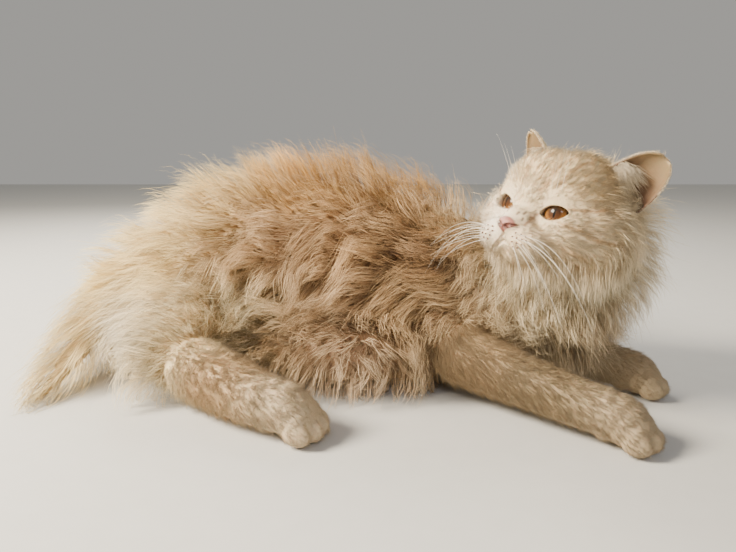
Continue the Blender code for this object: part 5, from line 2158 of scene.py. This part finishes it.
    def grow_ear(self, ear: Ear) -> None:
        """Grows the fur on the back of an ear, the fuzz of its rim and the long white hairs in it."""
        head = self.skin.head
        matrix = head.matrix()
        turn = np.array(matrix.to_3x3())
        flip = np.array((ear.side.value, 1.0, 1.0))
        reach, opens, sideways = (np.array(way) * flip @ turn.T for way in ear.frame())
        axis = unit(reach)

        def zone(points: np.ndarray, normals: np.ndarray) -> np.ndarray:
            """Says how densely the ear's fur grows: thick on the back, thin inside."""
            return np.where(normals @ opens > 0.15, 0.0, 1.0)

        cut = ShortCut(0.0015, 4, 0.00024, low_angle=math.radians(20), high_angle=math.radians(6))
        part = self.skin.ear_parts[ear.side]
        fur = ShortFur(self.surface, part, self.markings, cut, SEED + 40 + ear.side.value)
        back = fur.hairs(
            zone, lambda points: np.tile(axis, (len(points), 1)), lambda points: np.full(len(points), 0.0034), SPIKE
        )
        name = ear.side.name.lower()
        line = (matrix @ ear.point(0.0, 0.0), matrix @ ear.point(0.0, 1.0))
        self.lay(f"fur_ear_{name}", back, SPIKE, Slot.SHORT, line)
        draw = np.random.default_rng(SEED + 50 + ear.side.value)
        count = 2100
        long = draw.random(count) < 0.62
        edge = np.where(draw.random(count) < 0.5, -1.0, 1.0) * draw.uniform(0.92, 1.0, count)
        across = np.where(long, draw.uniform(-1.0, -0.25, count), edge)
        share = np.where(long, draw.uniform(-0.25, 0.45, count), draw.uniform(-0.1, 0.97, count))
        roots = np.array([matrix @ ear.point(a, s) for a, s in zip(across.tolist(), share.tolist())])
        outward = sideways * np.sign(across)[:, None]
        spread = draw.normal(0, 0.20, (count, 3))
        front = long[:, None]
        first = np.where(front, sideways * 0.5 + opens * 0.6 + axis * 0.15, axis * 0.5 + outward * 0.5) + spread
        last = np.where(front, sideways * 1.0 - axis * 0.20 + opens * 0.05, axis * 0.8 + outward * 0.3) + spread
        length = np.where(long, draw.uniform(0.010, 0.026, count), draw.uniform(0.0015, 0.0036, count))
        length = length * (1.0 - 0.5 * np.clip(share, 0, 1))
        up = np.tile(opens, (count, 1))
        spine, ups = swept(roots, unit(first), unit(last), length, up, SHORT.rings)
        shade = draw.uniform(0.82, 1.05, (count, 1, 1))
        colour = np.array(linear("#f0dfc0")) * np.linspace(0.72, 1.0, spine.shape[1])[None, :, None] * shade
        hairs = Hairs(spine, ups, draw.uniform(0.00016, 0.00030, count), colour, roots)
        self.lay(f"ear_furnishings_{name}", hairs, SHORT, Slot.SHORT, line)

    def on_trunk(self, points: np.ndarray, normals: np.ndarray) -> np.ndarray:
        """Says where the long coat of the trunk grows."""
        sparse = np.where(points[:, 1] > 0.075, 0.78, 1.0)
        return ((points[:, 2] > 0.010) & (normals[:, 2] > -0.80) & (points[:, 0] < 0.120)) * sparse

    def on_ruff(self, points: np.ndarray, normals: np.ndarray) -> np.ndarray:
        """Says where the ruff grows."""
        return ((points[:, 2] > 0.010) & (normals[:, 2] > -0.80) & (points[:, 0] >= 0.120)).astype(float)

    def off_floor(self, points: np.ndarray, normals: np.ndarray) -> np.ndarray:
        """Says where fur grows that doesn't lie on the floor."""
        return (points[:, 2] > 0.003) * np.where(normals[:, 2] < -0.6, 0.3, 1.0)


class Skin:
    """The one skin under the coat, from the nose to the tail."""

    floor_clear = 0.0004

    def __init__(self, trunk: Trunk, tail: Tail, legs: list[Limb], head: Head, ears: list[Ear]) -> None:
        self.trunk = trunk
        self.tail = tail
        self.legs = legs
        self.head = head
        self.ears = ears
        local = head.matrix()
        placed = [Patch(tuple(local @ Vector(p.place)), p.low, p.tip, p.size) for p in FACE_PATCHES]
        self.markings = Markings(PATCHES + placed, FACE_LINES, head)
        self.parts = [trunk.balls(), tail.balls()]
        for leg in legs:
            matrix = leg.paw_matrix()
            paw = [(matrix @ centre, half * leg.size) for centre, half in leg.paw_balls()]
            self.parts += [leg.balls(), paw]
        self.head_part = len(self.parts)
        self.parts.append([(local @ centre, half) for centre, half in head.balls()])
        self.ear_parts = {}
        small = Vector((0.0028, 0.0028, 0.0028))
        for ear in ears:
            self.ear_parts[ear.side] = len(self.parts)
            grid = [ear.point(a / 4, s / 8) for a in range(-4, 5) for s in range(1, 9)]
            self.parts.append([(local @ spot, small) for spot in grid])

    def part_at(self, points: np.ndarray) -> np.ndarray:
        """Says which part of the body points are on: 0 trunk, 1 tail, then each leg and paw, head and ears."""
        gaps = np.full((len(self.parts), len(points)), 1.0)
        for number, balls in enumerate(self.parts):
            for centre, half in balls:
                spread, middle = np.array(half), np.array(centre)
                reach = spread.max() * 1.6 + 0.004
                near = np.flatnonzero((np.abs(points - middle) < reach).all(axis=1))
                share = np.linalg.norm((points[near] - middle) / spread, axis=1) - 1.0
                gaps[number, near] = np.minimum(gaps[number, near], share * spread.min())
        part = gaps.argmin(0)
        for number, leg in enumerate(self.legs):
            share, _ = leg.share_at(points)
            part[(part == 2 + 2 * number) & (share < leg.shaggy)] = 0
        return part

    def leather(self, local: np.ndarray) -> np.ndarray:
        """Says how far inside the nose leather points in the head's frame are: 0 at its edge, 1 at its middle."""
        x, y, z = local.T
        half = 0.0086 * np.clip((z + 0.0215) / 0.0080, 0.22, 1.0)
        return np.clip(1.0 - np.hypot(x / half, (z + 0.0148) / 0.0060), 0, 1) * (y < -0.0470)

    def bare_face(self, points: np.ndarray) -> np.ndarray:
        """Says from 0 to 1 where the face is bare: the nose leather, the lips and the lids' edges."""
        head = self.head
        local = head.local(points)
        bare = np.clip(self.leather(local) * 8, 0, 1)
        for path in head.laid["mouth"] + head.laid["wing"]:
            bare = np.maximum(bare, np.clip(1.6 - distance_to_path(local, path) / 0.0008, 0, 1))
        for side in Side:
            lids = distance_to_path(local, head.lid_path(side, 0.0, 0.0003))
            bare = np.maximum(bare, np.clip(1.8 - lids / 0.0008, 0, 1))
        return bare

    def paint(self, body: bpy.types.Object) -> None:
        """Stores the markings and the bare places on the skin's vertices."""
        head = self.head
        places, normals = vertex_arrays(body.data)
        low, tip = self.markings.at(places)
        part = self.part_at(places)
        # Painted shade: under the long coat of the trunk and the tail the skin takes mostly the coat's root colour,
        # darkened, as shade in the gaps between locks; on the legs and head it mixes in the tip colour
        light = np.where(part < 2, 0.06, 0.45)[:, None]
        colour = low * (0.76 - 0.45 * light) + tip * light
        local = head.local(places)
        bare = np.zeros(len(places))
        near = np.flatnonzero(np.linalg.norm(local, axis=1) < 0.08)
        bare[near] = self.bare_face(places[near])
        face, face_local = colour[near], local[near]
        for side in Side:
            lids = distance_to_path(face_local, head.lid_path(side, 0.0, 0.0003))
            self.tint(face, np.clip(1.9 - lids / 0.0010, 0, 1) * 0.55, "#7a5140")
        self.tint(face, np.clip(self.leather(face_local) * 7, 0, 1), "#8f5c50")
        self.tint(face, np.clip(self.leather(face_local) * 2.2 - 0.2, 0, 1), "#bd8378")
        # Painted shade: the nostrils are painted near black and the folds of the wings dark brown, as shade in
        # these hollows; the mouth line and the philtrum take the skin's own darker colours
        for name, reach, tone in (
            ("mouth", 0.0011, "#5a3028"),
            ("philtrum", 0.0008, "#8f5b50"),
            ("wing", 0.0011, "#4a241f"),
            ("nostril", 0.0016, "#160a08"),
        ):
            for path in head.laid[name]:
                gap = distance_to_path(face_local, path)
                self.tint(face, np.clip(1.7 - gap / reach, 0, 1) * 0.95, tone)
        colour[near] = face
        turn = np.array(head.matrix().to_3x3())
        for ear in self.ears:
            opens = np.array(ear.frame()[1]) * np.array((ear.side.value, 1.0, 1.0)) @ turn.T
            inside = (part == self.ear_parts[ear.side]) & ((normals @ opens) > 0.1)
            reach = ear.frame()[0]
            flip = np.array((ear.side.value, 1, 1))
            flat = (local - flip * np.array(ear.base)) * flip
            share = np.clip(flat @ np.array(reach) / reach.length_squared, 0, 1)
            # The inside of the cup is painted a dull tan, partly the ear's own skin and partly painted shade, and
            # darker still towards its root as painted shade deep in the cup
            self.tint(colour, inside * 0.95, "#8d7856")
            self.tint(colour, inside * (1 - share) * 0.9, "#664640")
            bare = np.maximum(bare, inside * 0.5)
        whole = np.concatenate((colour, np.ones((len(colour), 1))), axis=1)
        layer = body.data.color_attributes.new("Marking", "FLOAT_COLOR", "POINT")
        layer.data.foreach_set("color", whole.astype(np.float32).ravel())
        layer = body.data.attributes.new("Bare", "FLOAT", "POINT")
        layer.data.foreach_set("value", bare.astype(np.float32))

    def tint(self, colour: np.ndarray, share: np.ndarray, towards: str) -> None:
        """Mixes a colour over colours by a share of each."""
        held = np.asarray(share, dtype=float)[:, None]
        colour *= 1 - held
        colour += np.array(linear(towards)) * held

    def build(self, finish: bpy.types.Material) -> bpy.types.Object:
        """Builds and dresses the skin, which takes the place of all the flesh."""
        body = self.trunk.build()
        body.name = "skin"
        others = [self.tail.build(), self.head.build()]
        for leg in self.legs:
            others += leg.build()
        others += [ear.build(self.head) for ear in self.ears]
        combine(body, others, "UNION")
        places, _ = vertex_arrays(body.data)
        places[:, 2] = np.maximum(places[:, 2], self.floor_clear)
        place_vertices(body.data, places)
        self.paint(body)
        ride_as(body, Slot.SHORT, finish)
        nodes = ["torso", "neck", "head", "tail", "ear_left", "ear_right"]
        for leg in self.legs:
            nodes += [leg.name, leg.name.replace("leg", "paw")]
        for node in nodes:
            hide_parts(node)
        return body


def tube(name: str, path: list[Vector], radii: list[float], closed: bool, sides: int = 6) -> bpy.types.Object:
    """Makes a closed tube along a path.

    Args:
        name: The object's name.
        path: The line it follows.
        radii: Its radius at each point of the path.
        closed: Whether it runs on from its end to its start.
        sides: How many sides it has.

    Returns:
        The object.
    """
    bm = bmesh.new()
    rings = []
    count = len(path)
    side = Vector((0.1, 0.2, 1.0))
    for i, (spot, radius) in enumerate(zip(path, radii)):
        before = path[i - 1] if closed or i else path[0]
        after = path[(i + 1) % count] if closed or i + 1 < count else path[-1]
        ahead = (after - before).normalized()
        side = (side - ahead * side.dot(ahead)).normalized()
        third = ahead.cross(side)
        ring = []
        for k in range(sides):
            angle = math.tau * k / sides
            ring.append(bm.verts.new(spot + (side * math.cos(angle) + third * math.sin(angle)) * radius))
        rings.append(ring)
    pairs = list(zip(rings, rings[1:])) + ([(rings[-1], rings[0])] if closed else [])
    for low, high in pairs:
        turns = [(low[0].co - other.co).length for other in high] if closed and high is rings[0] else [0.0]
        shift = turns.index(min(turns))
        for k in range(sides):
            j = (k + 1) % sides
            bm.faces.new((low[k], low[j], high[(j + shift) % sides], high[(k + shift) % sides]))
    if not closed:
        bm.faces.new(list(reversed(rings[0])))
        bm.faces.new(rings[-1])
    bmesh.ops.recalc_face_normals(bm, faces=bm.faces)
    return object_of(name, bm)


def joined(name: str, pieces: list[bpy.types.Object]) -> bpy.types.Object:
    """Joins pieces into one object of that name."""
    bm = bmesh.new()
    for piece in pieces:
        bm.from_mesh(piece.data)
        bpy.data.objects.remove(piece)
    return object_of(name, bm)


@dataclass
class Eyes:
    """The eyeballs, and the bare margins of the lids round them."""

    head: Head
    iris_radius: float = 0.0086
    detail: int = 5
    margin: float = 0.00050
    corner: float = 0.0013

    def build(self, eye_finish: bpy.types.Material, lid_finish: bpy.types.Material) -> None:
        """Builds and dresses both eyes and their lid margins."""
        matrix = self.head.matrix()
        for side in Side:
            name = side.name.lower()
            eye = self.head.ball(f"eyeball_{name}", side, self.head.eye_radius, self.detail)
            frame = self.head.eye_matrix(side)
            upright = frame @ Matrix.Rotation(-side.value * self.head.lid_tilt, 4, "Z")
            places, _ = vertex_arrays(eye.data)
            gaze = moved(upright.inverted(), places) / self.iris_radius
            gaze[:, 0] = np.where(gaze[:, 2] < 0, 1.2, gaze[:, 0])
            layer = eye.data.attributes.new("Gaze", "FLOAT_VECTOR", "POINT")
            layer.data.foreach_set("vector", gaze.astype(np.float32).ravel())
            eye.data.transform(matrix)
            ride_as(eye, Slot.EYE, eye_finish)
            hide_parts(f"eye_{name}")
            path = [matrix @ spot for spot in self.head.lid_path(side, 0.0002, 0.0002)[:-1]]
            turns = [math.tau * i / len(path) for i in range(len(path))]
            radii = [self.margin + self.corner * abs(math.cos(turn)) ** 10 for turn in turns]
            rim = tube(f"lid_margin_{name}", path, radii, True, 8)
            ride_as(rim, Slot.SKIN, lid_finish)


@dataclass
class Whiskers:
    """The whiskers of the pads in rows, those of the brows, and the dark spots that they grow from."""

    head: Head
    surface: Surface
    thickness: float = 0.00017
    raised: float = 0.0006
    rows: tuple[tuple[float, tuple[float, ...]], ...] = (
        (-0.0180, (0.0105, 0.0150, 0.0190)),
        (-0.0212, (0.0090, 0.0130, 0.0170, 0.0205)),
        (-0.0245, (0.0100, 0.0140, 0.0180)),
        (-0.0275, (0.0115, 0.0155)),
    )

    def build(self, finish: bpy.types.Material, spot_finish: bpy.types.Material) -> None:
        """Builds and dresses the whiskers."""
        draw = np.random.default_rng(SEED + 60)
        for side in Side:
            hairs, spots = [], []
            for row, (height, places) in enumerate(self.rows):
                for column, reach in enumerate(places):
                    root = self.root_at(Vector((side.value * reach, -0.055, height)))
                    spots.append(self.spot(root))
                    ahead = Vector((side.value * (0.95 + 0.08 * column), -0.42 + 0.16 * column, 0.10 - 0.16 * row))
                    ahead += Vector(draw.normal(0, 0.10, 3))
                    length = 0.030 + 0.014 * column + 0.006 * (1.5 - abs(row - 1.5))
                    length = length + float(draw.uniform(0, 0.016))
                    hairs.append(self.whisker(root, ahead.normalized(), length, float(draw.uniform(0.6, 1.3))))
            for reach in (0.015, 0.019, 0.023):
                root = self.root_at(Vector((side.value * reach, -0.040, 0.017)))
                ahead = Vector((side.value * (0.15 + 12 * (reach - 0.015)), -0.45, 0.9)) + Vector(
                    draw.normal(0, 0.10, 3)
                )
                hairs.append(self.whisker(root, ahead.normalized(), float(draw.uniform(0.024, 0.036)), 0.5))
            whole = joined(f"whiskers_{side.name.lower()}", hairs)
            whole.data.transform(self.head.matrix())
            ride_as(whole, Slot.CREAM, finish)
            dots = joined(f"whisker_spots_{side.name.lower()}", spots)
            dots.data.transform(self.head.matrix())
            ride_as(dots, Slot.SKIN, spot_finish)

    def root_at(self, near: Vector) -> Vector:
        """Finds the place on the face nearest to one in the head's frame."""
        matrix = self.head.matrix()
        spot, normal = self.surface.nearest(np.array([matrix @ near]))
        return matrix.inverted() @ Vector(spot[0] + normal[0] * self.raised)

    def spot(self, root: Vector) -> bpy.types.Object:
        """Makes the dark raised spot that a whisker grows from."""
        bm = bmesh.new()
        bmesh.ops.create_icosphere(bm, subdivisions=2, radius=0.00060, matrix=Matrix.Translation(root))
        return object_of("spot", bm)

    def whisker(self, root: Vector, ahead: Vector, length: float, droop: float) -> bpy.types.Object:
        """Makes one whisker that bends down under its weight.

        Args:
            root: Where it grows, in the head's frame.
            ahead: Which way it leaves the skin.
            length: How long it is.
            droop: How much it bends down.

        Returns:
            The whisker as a closed tapered tube.
        """
        steps = 12
        place = root - ahead * 0.003
        path, radii = [place], [self.thickness]
        down = self.head.matrix().to_3x3().inverted() @ Vector((0, 0, -1))
        for i in range(1, steps + 1):
            share = i / steps
            heading = (ahead + down * (droop * share**1.2 * length / 0.05)).normalized()
            place = place + heading * (length / steps)
            path.append(place)
            radii.append(self.thickness * (1.0 - 0.88 * share))
        return tube("whisker", path, radii, False, 5)


@dataclass
class Studio:
    """The pale floor, the soft lights, and the camera where the photograph was taken from."""

    camera_place: tuple[float, float, float] = (0.03, -0.53, 0.19)
    camera_down: float = math.radians(11.49)
    lens: float = 36.0 * 620.0 / 736.0
    floor_size: float = 6.0

    def build(self) -> None:
        """Sets up the floor, the lights, the world and the camera."""
        bm = bmesh.new()
        bmesh.ops.create_grid(bm, x_segments=2, y_segments=2, size=self.floor_size / 2)
        floor = object_of("studio_floor", bm)
        material, tree, shader = new_material("pale studio floor")
        place = add_node(tree, "ShaderNodeTexCoord")
        grain = add_node(tree, "ShaderNodeTexNoise", {"Vector": place.outputs["Object"], "Scale": 60.0})
        mix = add_node(
            tree,
            "ShaderNodeMix",
            {0: grain.outputs["Fac"], 6: (*linear("#c9c9c6"), 1.0), 7: (*linear("#cfcfcc"), 1.0)},
            data_type="RGBA",
        )
        tree.links.new(mix.outputs[2], shader.inputs["Base Color"])
        shader.inputs["Roughness"].default_value = 0.9
        floor.data.materials.append(material)
        self.lamp("key", (-1.15, -0.38, 0.95), (0.0, 0.0, 0.08), 0.6, 82.0, "#fff1da")
        self.lamp("fill", (0.05, -1.35, 0.95), (0.05, 0.0, 0.08), 0.35, 5.0, "#fbf8ff")
        self.lamp("back", (-0.30, 1.0, 1.0), (0.0, 0.0, 0.10), 0.7, 20.0, "#fff6e8")
        world = bpy.data.worlds.new("studio")
        world.use_nodes = True
        world.node_tree.nodes["Background"].inputs["Color"].default_value = (*linear("#ebe8e2"), 1.0)
        world.node_tree.nodes["Background"].inputs["Strength"].default_value = 0.46
        bpy.context.scene.world = world
        data = bpy.data.cameras.new("camera")
        data.sensor_width = 36.0
        data.lens = self.lens
        data.clip_start = 0.01
        camera = bpy.data.objects.new("camera", data)
        camera.location = self.camera_place
        camera.rotation_euler = (math.pi / 2 - self.camera_down, 0.0, 0.0)
        bpy.context.scene.collection.objects.link(camera)
        bpy.context.scene.camera = camera

    def lamp(self, name: str, place: tuple, aim: tuple, size: float, power: float, colour: str) -> None:
        """Adds one soft round lamp.

        Args:
            name: The lamp's name.
            place: Where it stands.
            aim: What it points at.
            size: How wide it is.
            power: How strong it is, in watts.
            colour: Its colour.
        """
        data = bpy.data.lights.new(name, "AREA")
        data.shape = "DISK"
        data.size = size
        data.energy = power
        data.color = linear(colour)
        lamp = bpy.data.objects.new(name, data)
        lamp.location = place
        lamp.rotation_euler = (Vector(aim) - Vector(place)).to_track_quat("-Z", "Y").to_euler()
        bpy.context.scene.collection.objects.link(lamp)


def main() -> None:
    """Builds the cat and the studio round it."""
    logging.basicConfig(level=logging.INFO, format="%(name)s: %(message)s")
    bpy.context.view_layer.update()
    trunk, tail, legs, head = Trunk(), Tail(), limbs(), Head()
    ears = [
        Ear(Side.LEFT, Vector((0.0590, 0.0070, 0.0492)), half_width=0.0172),
        Ear(Side.RIGHT, Vector((0.0545, 0.0050, 0.0555)), half_width=0.0182, fullness=0.6),
    ]
    skin = Skin(trunk, tail, legs, head, ears)
    body = skin.build(SkinFinish().make())
    lid_finish = LidFinish().make()
    Eyes(head).build(EyeFinish().make(), lid_finish)
    coat = Coat(skin, body, CoatFinish().make())
    coat.grow_body()
    coat.grow_legs()
    coat.grow_head()
    Whiskers(head, coat.surface).build(WhiskerFinish().make(), lid_finish)
    Studio().build()


if __name__ == "__main__":
    main()
